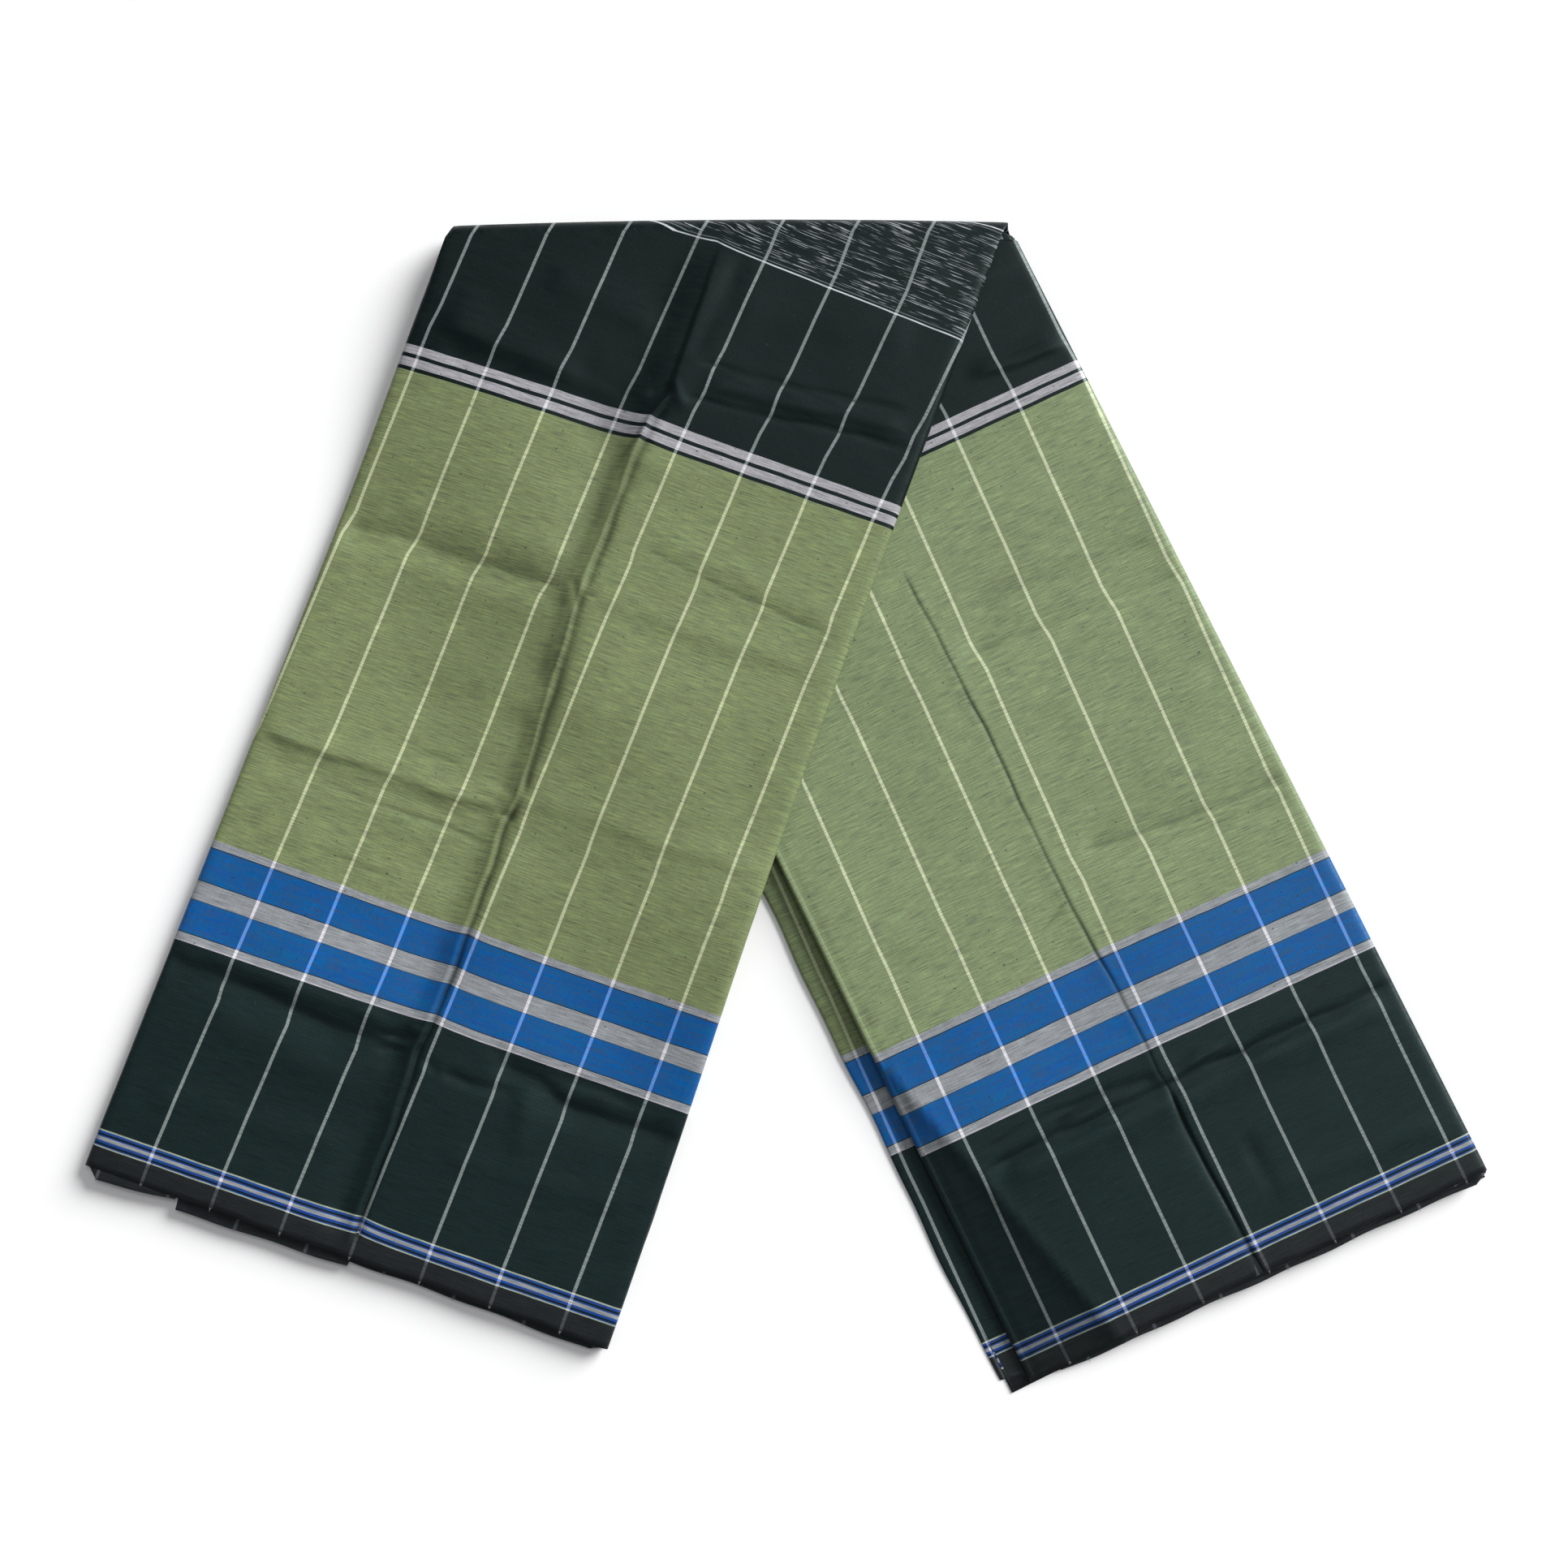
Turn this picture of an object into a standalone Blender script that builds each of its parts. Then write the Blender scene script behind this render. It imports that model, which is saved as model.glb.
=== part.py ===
"""Longyi sarong, folded into a strip and bent over into an upturned V.

The garment is one tube of yarn-dyed cotton. It is flattened and folded twice lengthways into a
strip of eight layers, and the strip is bent over at its middle, along the far edge. The left leg
lies on the right leg where they cross, and slopes down to the surface beside it.

Metres, +Z up. X runs to the right, Y runs away from the hems, and Z = 0 is the surface that the
cloth lies on. The origin is the middle of the bounding box's underside. The sizes below are in
millimetres.
"""

from collections import namedtuple
from math import cos, hypot, pi, sin, sqrt

import bmesh
import bpy

MM = 0.001

# Cloth and stack sizes
WALL = 1.2
SEAM_GAP = 0.3
RIGHT_STACK = 9.1
LEFT_STACK = 8.5
BEND_TOP = RIGHT_STACK + SEAM_GAP + LEFT_STACK
BEND_RADIUS = 0.5 * BEND_TOP
SLAB_RADIUS = BEND_RADIUS - WALL - SEAM_GAP
FACE_END = BEND_RADIUS + 0.5 * SEAM_GAP

# The left leg keeps its full lift for a way past the right leg's hidden edge, then slopes down
LIFT_SHELF = 12.0
LIFT_RAMP = 60.0

# Plan of each leg: corners as X, Y, and how far its sides and far edge bow out of straight
LEG_FIELDS = "hem_left hem_right far_left far_right left_bow right_bow far_bow stack fan_start"
Leg = namedtuple("Leg", LEG_FIELDS)
LEFT_LEG = Leg((-360, -196), (-91, -288), (-181, 306), (119, 308), 0.0, -3.5, 2.5, LEFT_STACK, 490)
RIGHT_LEG = Leg((124, -306), (360, -202), (-180, 306), (121, 308), 3.0, 0.5, 2.5, RIGHT_STACK, 480)

# A folded side rolls over: distance in from the rim, and drop there
RimStep = namedtuple("RimStep", "inward drop")
RIM = (
    RimStep(0.0, 3.6),
    RimStep(0.4, 2.2),
    RimStep(1.2, 1.0),
    RimStep(2.8, 0.25),
    RimStep(5.5, 0.0),
)

# Edge of the hidden layers, from the top down: depth under the face, and how far each side is
# inset. A negative inset stands out past the face, as the stepped layers of the right leg do.
EdgeStep = namedtuple("EdgeStep", "depth left_inset right_inset")
LEFT_EDGE = (
    EdgeStep(1.5, 6.0, 6.0),
    EdgeStep(2.1, 3.4, 3.4),
    EdgeStep(3.0, 2.2, 2.2),
    EdgeStep(3.9, 1.8, 1.8),
    EdgeStep(4.3, 0.7, 0.8),
    EdgeStep(5.1, 0.5, 0.6),
    EdgeStep(5.7, 1.6, 1.4),
    EdgeStep(6.2, 0.8, 0.5),
    EdgeStep(7.2, 0.7, 0.6),
    EdgeStep(8.0, 1.6, 1.5),
    EdgeStep(8.5, 3.0, 3.0),
)
RIGHT_EDGE = (
    EdgeStep(1.5, 6.0, 6.0),
    EdgeStep(2.1, 3.4, 3.4),
    EdgeStep(3.0, 2.2, 2.2),
    EdgeStep(4.3, 2.3, 1.8),
    EdgeStep(4.8, -1.8, 0.4),
    EdgeStep(5.2, -2.6, 0.3),
    EdgeStep(5.5, -1.0, 1.2),
    EdgeStep(5.8, -5.2, 0.2),
    EdgeStep(6.5, -6.0, 0.3),
    EdgeStep(7.1, -5.0, 1.4),
    EdgeStep(7.6, -2.0, 2.6),
)

# Layers that stand out past the face at the hem: depths they fill, the stretch of the hem
# as fractions of its width from the left, and how far they stand out
HemStep = namedtuple("HemStep", "top bottom start end out")
LEFT_HEM = (
    HemStep(1.4, 3.5, 0.02, 0.18, 5.5),
    HemStep(3.5, 5.4, 0.02, 0.51, 6.5),
    HemStep(5.4, 8.2, 0.02, 0.97, 3.0),
)
RIGHT_HEM = (
    HemStep(1.4, 4.1, 0.02, 0.98, 3.5),
    HemStep(4.1, 7.3, 0.02, 0.98, 2.0),
)
HEM_STEP_RUN = 0.02

# Creases: ends as fraction across and millimetres from the hem, half width, and height
Crease = namedtuple("Crease", "across_a along_a across_b along_b half_width height")
LEFT_CREASES = (
    Crease(0.509, 10, 0.501, 112, 9.0, 1.2),
    Crease(0.501, 112, 0.508, 166, 9.0, 1.2),
    Crease(0.508, 166, 0.504, 242, 9.0, 1.3),
    Crease(0.504, 242, 0.481, 364, 9.0, 1.3),
    Crease(0.481, 364, 0.490, 464, 9.0, 1.2),
    Crease(0.490, 464, 0.518, 481, 9.0, 1.0),
    Crease(0.518, 481, 0.494, 560, 9.0, 1.2),
    Crease(0.455, 40, 0.452, 240, 17.0, -0.8),
    Crease(0.452, 240, 0.430, 364, 17.0, -0.9),
    Crease(0.430, 364, 0.452, 550, 17.0, -0.8),
    Crease(0.03, 233, 0.47, 243, 16.0, 1.1),
    Crease(0.05, 212, 0.42, 221, 15.0, -0.6),
    Crease(0.03, 361, 0.44, 364, 17.0, -1.0),
    Crease(0.58, 389, 0.96, 382, 15.0, 0.8),
    Crease(0.06, 478, 0.37, 474, 20.0, 0.9),
    Crease(0.56, 484, 0.95, 493, 15.0, 0.8),
    Crease(0.56, 252, 0.93, 257, 17.0, -0.8),
    Crease(0.04, 94, 0.48, 113, 18.0, 0.9),
    Crease(0.54, 116, 0.95, 118, 18.0, 0.9),
)
RIGHT_CREASES = (
    Crease(0.495, 12, 0.502, 107, 7.0, 0.9),
    Crease(0.502, 107, 0.495, 178, 7.0, 0.9),
    Crease(0.495, 178, 0.488, 230, 7.0, 0.9),
    Crease(0.488, 230, 0.496, 315, 7.0, 0.9),
    Crease(0.496, 315, 0.489, 400, 7.0, 0.8),
    Crease(0.16, 131, 0.95, 109, 15.0, 1.0),
    Crease(0.20, 110, 0.93, 89, 14.0, -0.6),
    Crease(0.57, 232, 0.96, 227, 15.0, -0.9),
    Crease(0.57, 356, 0.96, 351, 15.0, -0.9),
    Crease(0.78, 492, 0.96, 490, 14.0, 0.8),
)
# The right leg's near left corner sags from a diagonal crease down to its two edges
SAG_FAR = (0.002, 186)
SAG_NEAR = (0.195, 1)
SAG_DEPTH = 2.0

# Columns across a panel, as fractions of the width inside its rims, close about the centre crease
PANEL_COLUMNS = (0.0, 0.09, 0.19, 0.29, 0.37, 0.42, 0.455, 0.485, 0.515, 0.55, 0.63, 0.73, 0.83, 0.92, 1.0)
# Rows along each leg, in millimetres from the hem, close about the cross creases
LEFT_ROWS = (
    0, 8, 45, 78, 96, 115, 133, 165, 200, 216, 229, 242, 256, 285, 320, 347, 361, 373, 388, 425, 458,
    473, 490, 530, 570,
)
RIGHT_ROWS = (0, 8, 45, 76, 92, 108, 122, 136, 165, 212, 229, 245, 290, 335, 353, 370, 420, 480, 500, 540, 600)
UNDERSIDE_COLUMNS = (0.0, 0.15, 0.35, 0.55, 0.75, 1.0)
UNDERSIDE_ROWS = (0, 60, 140, 240, 340, 440, 480, 600)
# The bottom layer shows as a sliver past the right leg's left side
SLIVER = 13.0
# Steps round the bend, and how far its two ends stand off the seams, whose points lean inwards
BEND_STEPS = 10
BEND_SEAM = 0.4
# The hidden layers' far corners stop short of the bend's rolled rims
CORNER_BACK = 6.0

Finish = namedtuple("Finish", "colour roughness")
GREEN_COTTON = Finish((0.22, 0.29, 0.14), 0.85)
DARK_COTTON = Finish((0.012, 0.022, 0.025), 0.8)
BLUE_COTTON = Finish((0.012, 0.11, 0.37), 0.85)
GREY_COTTON = Finish((0.32, 0.33, 0.31), 0.85)


def mix(a, b, share):
    """Value between a and b at a share of the way."""
    return a + (b - a) * share


def smooth(share):
    """Soft step from 0 to 1."""
    share = min(1.0, max(0.0, share))
    return share * share * (3.0 - 2.0 * share)


def leg_width(leg):
    """Straight width of a leg at its hem."""
    return hypot(leg.hem_right[0] - leg.hem_left[0], leg.hem_right[1] - leg.hem_left[1])


def far_edge(leg, across):
    """Point of the far edge, which bows away a little at its middle."""
    x = mix(leg.far_left[0], leg.far_right[0], across)
    y = mix(leg.far_left[1], leg.far_right[1], across)
    return x, y + leg.far_bow * 4.0 * across * (1.0 - across)


def hem_edge(leg, across):
    """Point of the straight hem."""
    return mix(leg.hem_left[0], leg.hem_right[0], across), mix(leg.hem_left[1], leg.hem_right[1], across)


def leg_length(leg, across):
    """Straight length from the hem to the far edge at a fraction across."""
    hem_x, hem_y = hem_edge(leg, across)
    far_x, far_y = far_edge(leg, across)
    return hypot(far_x - hem_x, far_y - hem_y)


def row_distance(leg, across, row, rows, far_inset, hem_inset):
    """Distance of a row from the hem: level with the hem at first, then fanned to the far edge."""
    if row == rows[0]:
        return hem_inset
    rise = far_edge(leg, across)[1] - hem_edge(leg, across)[1]
    inset = far_inset if row == rows[-1] else FACE_END
    end = leg_length(leg, across) * (1.0 - inset / rise)
    if row <= leg.fan_start:
        return row
    return mix(leg.fan_start, end, (row - leg.fan_start) / (rows[-1] - leg.fan_start))


def leg_point(leg, across, distance):
    """Plan point at a fraction across and a distance from the hem."""
    share = distance / leg_length(leg, across)
    hem_x, hem_y = hem_edge(leg, across)
    far_x, far_y = far_edge(leg, across)
    swell = sin(pi * min(1.0, max(0.0, share))) ** 2
    bow = leg.left_bow * max(0.0, 1.0 - 2.0 * across) + leg.right_bow * max(0.0, 2.0 * across - 1.0)
    return mix(hem_x, far_x, share) + bow * swell, mix(hem_y, far_y, share)


def crease_height(leg, creases, across, along_mm):
    """Height that the creases add at a point of a leg."""
    width = leg_width(leg)
    height = 0.0
    for crease in creases:
        ax, ay = crease.across_a * width, crease.along_a
        bx, by = crease.across_b * width, crease.along_b
        px, py = across * width, along_mm
        run = (bx - ax) ** 2 + (by - ay) ** 2
        share = ((px - ax) * (bx - ax) + (py - ay) * (by - ay)) / run
        share = min(1.0, max(0.0, share))
        away = hypot(px - mix(ax, bx, share), py - mix(ay, by, share)) / crease.half_width
        if away < 1.0:
            height += crease.height * (1.0 - away * away) ** 2
    return height


def lift(x, y):
    """Height of the left leg's underside, which the right leg's hidden edge holds up."""
    edge_x, edge_y = RIGHT_LEG.far_left
    run_x = RIGHT_LEG.hem_left[0] - edge_x
    run_y = RIGHT_LEG.hem_left[1] - edge_y
    outside = ((x - edge_x) * run_y - (y - edge_y) * run_x) / hypot(run_x, run_y)
    return (RIGHT_STACK + SEAM_GAP) * (1.0 - smooth((outside - LIFT_SHELF) / LIFT_RAMP))


def sag(across, along_mm):
    """Drop of the right leg's near left corner, past its diagonal crease."""
    width = leg_width(RIGHT_LEG)
    ax, ay = SAG_FAR[0] * width, SAG_FAR[1]
    bx, by = SAG_NEAR[0] * width, SAG_NEAR[1]
    px, py = across * width, along_mm
    past = ((bx - ax) * (ay - py) - (by - ay) * (ax - px)) / hypot(bx - ax, by - ay)
    corner = ((bx - ax) * ay - (by - ay) * ax) / hypot(bx - ax, by - ay)
    return SAG_DEPTH * smooth(past / corner)


def relief_share(depth, thickness):
    """Share of the creases at a depth: all at the face and the layer under it, none at the base."""
    return min(1.0, max(0.0, (thickness - depth) / (thickness - WALL - SEAM_GAP)))


def left_height(across, along_mm, x, y, depth):
    """Height of the left leg at a depth under its face."""
    relief = crease_height(LEFT_LEG, LEFT_CREASES, across, along_mm)
    return lift(x, y) + LEFT_STACK - depth + relief_share(depth, LEFT_STACK) * relief


def right_height(across, along_mm, x, y, depth):
    """Height of the right leg at a depth under its face. Its underside is flat wherever it lies."""
    relief = crease_height(RIGHT_LEG, RIGHT_CREASES, across, along_mm) - sag(across, along_mm)
    return RIGHT_STACK - depth + relief_share(depth, RIGHT_STACK - WALL - SEAM_GAP) * relief


def rim_columns(leg):
    """Columns across a face, as fractions of its width, with each column's drop at the rims."""
    width = leg_width(leg)
    inner = RIM[-1].inward / width
    left = [(step.inward / width, step.drop) for step in RIM[:-1]]
    middle = [(mix(inner, 1.0 - inner, share), 0.0) for share in PANEL_COLUMNS]
    right = [(1.0 - across, drop) for across, drop in reversed(left)]
    return left + middle + right


def new_node(name, mesh, finish, collection):
    """Object for one piece of the cloth, with its own material."""
    material = bpy.data.materials.new(name + "_cotton")
    material.use_nodes = True
    shader = material.node_tree.nodes["Principled BSDF"]
    shader.inputs["Base Color"].default_value = (*finish.colour, 1.0)
    shader.inputs["Roughness"].default_value = finish.roughness
    shader.inputs["Metallic"].default_value = 0.0
    mesh.materials.append(material)
    node = bpy.data.objects.new(name, mesh)
    collection.objects.link(node)
    mesh.shade_smooth()
    mesh.set_sharp_from_angle(angle=pi / 4)
    return node


def sheet_node(name, columns, rows, place, finish, collection, grow=-1.0):
    """Cloth wall: a grid whose points place() sets, thickened by Solidify.

    place(column, row) returns millimetres. The wall grows to the underside with grow = -1.
    """
    mesh = bpy.data.meshes.new(name)
    bm = bmesh.new()
    bmesh.ops.create_grid(bm, x_segments=len(columns) - 1, y_segments=len(rows) - 1, size=0.5)
    for vert in bm.verts:
        column = columns[round((vert.co.x + 0.5) * (len(columns) - 1))]
        row = rows[round((vert.co.y + 0.5) * (len(rows) - 1))]
        vert.co = [value * MM for value in place(column, row)]
    bm.to_mesh(mesh)
    bm.free()
    node = new_node(name, mesh, finish, collection)
    wall = node.modifiers.new("Wall", "SOLIDIFY")
    wall.thickness = WALL * MM
    wall.offset = grow
    wall.use_even_offset = True
    return node


def face_node(name, leg, rows, height, far_inset, hem_inset, finish, collection):
    """Top panel of a leg, with its two sides rolled over."""

    def place(column, row):
        across, drop = column
        distance = row_distance(leg, across, row, rows, far_inset, hem_inset)
        x, y = leg_point(leg, across, distance)
        return x, y, height(across, distance, x, y, drop)

    return sheet_node(name, rim_columns(leg), rows, place, finish, collection)


def hem_out(steps, depth, across):
    """How far the hidden layers stand out past the face at the hem."""
    out = 0.0
    for step in steps:
        if step.top <= depth < step.bottom:
            rise = smooth((across - step.start) / HEM_STEP_RUN)
            fall = smooth((step.end - across) / HEM_STEP_RUN)
            out = max(out, step.out * rise * fall)
    return out


def far_inset(level_z):
    """Inset of the hidden layers at the far edge, inside the outer layer's bend."""
    away = abs(level_z - BEND_RADIUS)
    return BEND_RADIUS - sqrt(max(0.0, SLAB_RADIUS**2 - away**2))


def stepped_share(row, rows):
    """Share of the layers' sideways steps: all of it near the hem, none at the far edge."""
    return smooth(2.0 - 2.0 * row / rows[-1])


def slab_node(name, leg, rows, edge, hem_steps, hem_inset, height, stack_base, finish, collection):
    """Hidden layers of a leg: one solid lofted through rings, a ring for each row of its edge."""
    width = leg_width(leg)
    columns = [mix(RIM[-1].inward / width, 1.0 - RIM[-1].inward / width, share) for share in PANEL_COLUMNS]
    last_column = len(columns) - 1
    last_row = len(rows) - 1

    def point(step, i, j):
        across = columns[i]
        end = far_inset(stack_base + leg.stack - step.depth)
        if i == 0:
            fade = 1.0 if step.left_inset > 0.0 else stepped_share(rows[j], rows)
            across = fade * step.left_inset / width
        if i == last_column:
            across = 1.0 - step.right_inset / width
        if i in (0, last_column):
            end += CORNER_BACK
        start = hem_inset - hem_out(hem_steps, step.depth, across)
        distance = row_distance(leg, across, rows[j], rows, end, start)
        x, y = leg_point(leg, across, distance)
        z = height(across, distance, x, y, step.depth)
        return x * MM, y * MM, z * MM

    bm = bmesh.new()
    border = [(i, 0) for i in range(last_column)]
    border += [(last_column, j) for j in range(last_row)]
    border += [(i, last_row) for i in range(last_column, 0, -1)]
    border += [(0, j) for j in range(last_row, 0, -1)]
    rings = []
    for step in edge:
        rings.append([bm.verts.new(point(step, i, j)) for i, j in border])
    for upper, lower in zip(rings, rings[1:]):
        for k, vert in enumerate(upper):
            after = (k + 1) % len(upper)
            bm.faces.new((vert, lower[k], lower[after], upper[after]))
    for ring, step in ((rings[0], edge[0]), (rings[-1], edge[-1])):
        grid = dict(zip(border, ring))
        for i in range(1, last_column):
            for j in range(1, last_row):
                grid[i, j] = bm.verts.new(point(step, i, j))
        for i in range(last_column):
            for j in range(last_row):
                bm.faces.new((grid[i, j], grid[i + 1, j], grid[i + 1, j + 1], grid[i, j + 1]))
    bmesh.ops.recalc_face_normals(bm, faces=bm.faces)
    mesh = bpy.data.meshes.new(name)
    bm.to_mesh(mesh)
    bm.free()
    return new_node(name, mesh, finish, collection)


def bend_node(name, finish, collection):
    """Outer layer where the strip goes over the far edge, from the left face to the underside."""

    def place(column, row):
        across, drop = column
        turn = pi * row
        left_x, left_y = far_edge(LEFT_LEG, across)
        right_x, right_y = far_edge(RIGHT_LEG, across)
        lean_left = (LEFT_LEG.far_left[0] - LEFT_LEG.hem_left[0]) / (LEFT_LEG.far_left[1] - LEFT_LEG.hem_left[1])
        lean_right = (RIGHT_LEG.far_left[0] - RIGHT_LEG.hem_left[0]) / (
            RIGHT_LEG.far_left[1] - RIGHT_LEG.hem_left[1]
        )
        back = BEND_RADIUS * (1.0 - sin(turn))
        x = mix(left_x, right_x, row) - back * mix(lean_left, lean_right, row)
        radius = BEND_RADIUS - drop
        y = mix(left_y, right_y, row) - BEND_RADIUS + radius * sin(turn)
        nudge = BEND_SEAM * abs(cos(turn)) ** 8
        return x, y + nudge, BEND_RADIUS + radius * cos(turn)

    rows = [step / BEND_STEPS for step in range(BEND_STEPS + 1)]
    return sheet_node(name, rim_columns(LEFT_LEG), rows, place, finish, collection)


def underside_node(name, finish, collection):
    """Outermost layer of the right leg, flat on the surface, out past the leg's left side."""
    width = leg_width(RIGHT_LEG)

    def place(column, row):
        sliver = SLIVER * stepped_share(row, UNDERSIDE_ROWS)
        across = mix(-sliver / width, 1.0, column)
        distance = row_distance(RIGHT_LEG, across, row, UNDERSIDE_ROWS, FACE_END, 0.0)
        x, y = leg_point(RIGHT_LEG, across, distance)
        return x, y, WALL

    return sheet_node(name, UNDERSIDE_COLUMNS, UNDERSIDE_ROWS, place, finish, collection)


def main():
    for old in list(bpy.data.objects):
        bpy.data.objects.remove(old, do_unlink=True)
    collection = bpy.data.collections.new("longyi_sarong")
    bpy.context.scene.collection.children.link(collection)

    face_node("left_face", LEFT_LEG, LEFT_ROWS, left_height, FACE_END, 0.0, GREEN_COTTON, collection)
    slab_node(
        "left_inner_layers", LEFT_LEG, LEFT_ROWS, LEFT_EDGE, LEFT_HEM, 0.4, left_height,
        RIGHT_STACK + SEAM_GAP, DARK_COTTON, collection,
    )
    bend_node("top_bend", BLUE_COTTON, collection)
    face_node("right_face", RIGHT_LEG, RIGHT_ROWS, right_height, FACE_END, 3.5, GREEN_COTTON, collection)
    slab_node(
        "right_inner_layers", RIGHT_LEG, RIGHT_ROWS, RIGHT_EDGE, RIGHT_HEM, 3.5, right_height,
        0.0, DARK_COTTON, collection,
    )
    underside_node("right_underside", GREY_COTTON, collection)


main()
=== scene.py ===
"""Longyi sarong, folded into a thick strip and bent over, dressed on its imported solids.

The garment is one tube of yarn-dyed cotton. It is flattened, folded twice lengthways and bent over
at its middle, along the far edge. The left leg lies on the right leg and slopes down to the floor
beside it. Tables are in millimetres, in the plan of each leg: a fraction across it, and a distance
from its hem. Meshes are in metres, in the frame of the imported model.
"""

from __future__ import annotations

import logging
import math
from collections.abc import Iterable, Iterator
from dataclasses import dataclass, field
from enum import Enum

import bmesh
import bpy
import numpy as np
from mathutils import Matrix, Vector, noise

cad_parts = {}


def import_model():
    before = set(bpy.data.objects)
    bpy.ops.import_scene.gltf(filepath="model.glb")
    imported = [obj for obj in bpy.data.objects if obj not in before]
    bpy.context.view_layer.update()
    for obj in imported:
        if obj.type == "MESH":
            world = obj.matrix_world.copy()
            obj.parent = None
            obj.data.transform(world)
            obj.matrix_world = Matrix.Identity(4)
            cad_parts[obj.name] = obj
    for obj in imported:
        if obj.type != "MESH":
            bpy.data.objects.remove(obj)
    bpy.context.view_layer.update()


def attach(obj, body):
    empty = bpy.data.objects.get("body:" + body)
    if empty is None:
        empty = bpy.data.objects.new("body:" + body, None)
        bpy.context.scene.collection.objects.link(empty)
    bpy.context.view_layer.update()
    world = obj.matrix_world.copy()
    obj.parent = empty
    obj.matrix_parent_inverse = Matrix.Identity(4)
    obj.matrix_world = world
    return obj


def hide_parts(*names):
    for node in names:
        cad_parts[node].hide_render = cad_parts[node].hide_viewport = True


LOG = logging.getLogger("longyi")

# One number, or an array of them
Numbers = float | np.ndarray
Colour = tuple[float, float, float, float]
Shades = tuple[str, str]

MM = 0.001

# Heights of the folded stacks, and the outer layer's path round the far edge
RIGHT_STACK = 9.1
LEFT_STACK = 8.5
SEAM_GAP = 0.3
CARRIED = RIGHT_STACK + SEAM_GAP
BEND_RADIUS = 0.5 * (CARRIED + LEFT_STACK)
# The left leg stays up this far past the right leg's side, and then comes down over this length
LIFT_SHELF = 16.0
LIFT_RAMP = 115.0
# Share of the rolled rims' drop that is left at the bend and underneath
BEND_RIM = 0.15
# Creases end this far short of the far edge, and fade over this length before it
BEND_CALM = 12.0
BEND_FADE = 22.0
# The bottom layer stands out past the right leg's left side, and ends short of its right side
SLIVER = 10.8
UNDER_TAPER = 0.004
UNDER_TAPER_RUN = 580.0

# Cloth
CLOTH = 0.55
CLOTH_LENGTH = 1200.0
LINE_PITCH = 37.6
LINE_WIDTH = 1.7
# Width that fractions across a leg stand for beside its centre crease, and that crease's reach
CREASE_SCALE = 270.0
PULL_REACH = 9.0
# Half width of the line of shade painted along a crease
PAINTED_SHADE_WIDTH = 1.15
# Creases wider than this in all shape the hidden layers too
BROAD_CREASE = 9.0


class Held(Enum):
    """How a sheet of cloth is held, as the frame names it."""

    FOLDED = "folded"


def smooth(share: Numbers) -> Numbers:
    """Soft step from 0 to 1."""
    share = np.clip(share, 0.0, 1.0)
    return share * share * (3.0 - 2.0 * share)


def mix(a: Numbers, b: Numbers, share: Numbers) -> Numbers:
    """Value between a and b at a share of the way."""
    return a + (b - a) * share


def colour(hex_code: str) -> Colour:
    """Linear colour of an sRGB hex one.

    Args:
        hex_code: Colour such as "#74805a".

    Returns:
        Linear red, green, blue and alpha.
    """
    values = []
    for start in (1, 3, 5):
        part = int(hex_code[start : start + 2], 16) / 255.0
        values.append(part / 12.92 if part <= 0.04045 else ((part + 0.055) / 1.055) ** 2.4)
    return (*values, 1.0)


def link_piece(bm: bmesh.types.BMesh, name: str) -> bpy.types.Object:
    """Turn a finished bmesh into an object of the scene.

    Args:
        bm: The mesh, which is freed here.
        name: Name of the piece.

    Returns:
        The object, at the origin.
    """
    mesh = bpy.data.meshes.new(name)
    bm.to_mesh(mesh)
    bm.free()
    piece = bpy.data.objects.new(name, mesh)
    bpy.context.scene.collection.objects.link(piece)
    return piece


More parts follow.
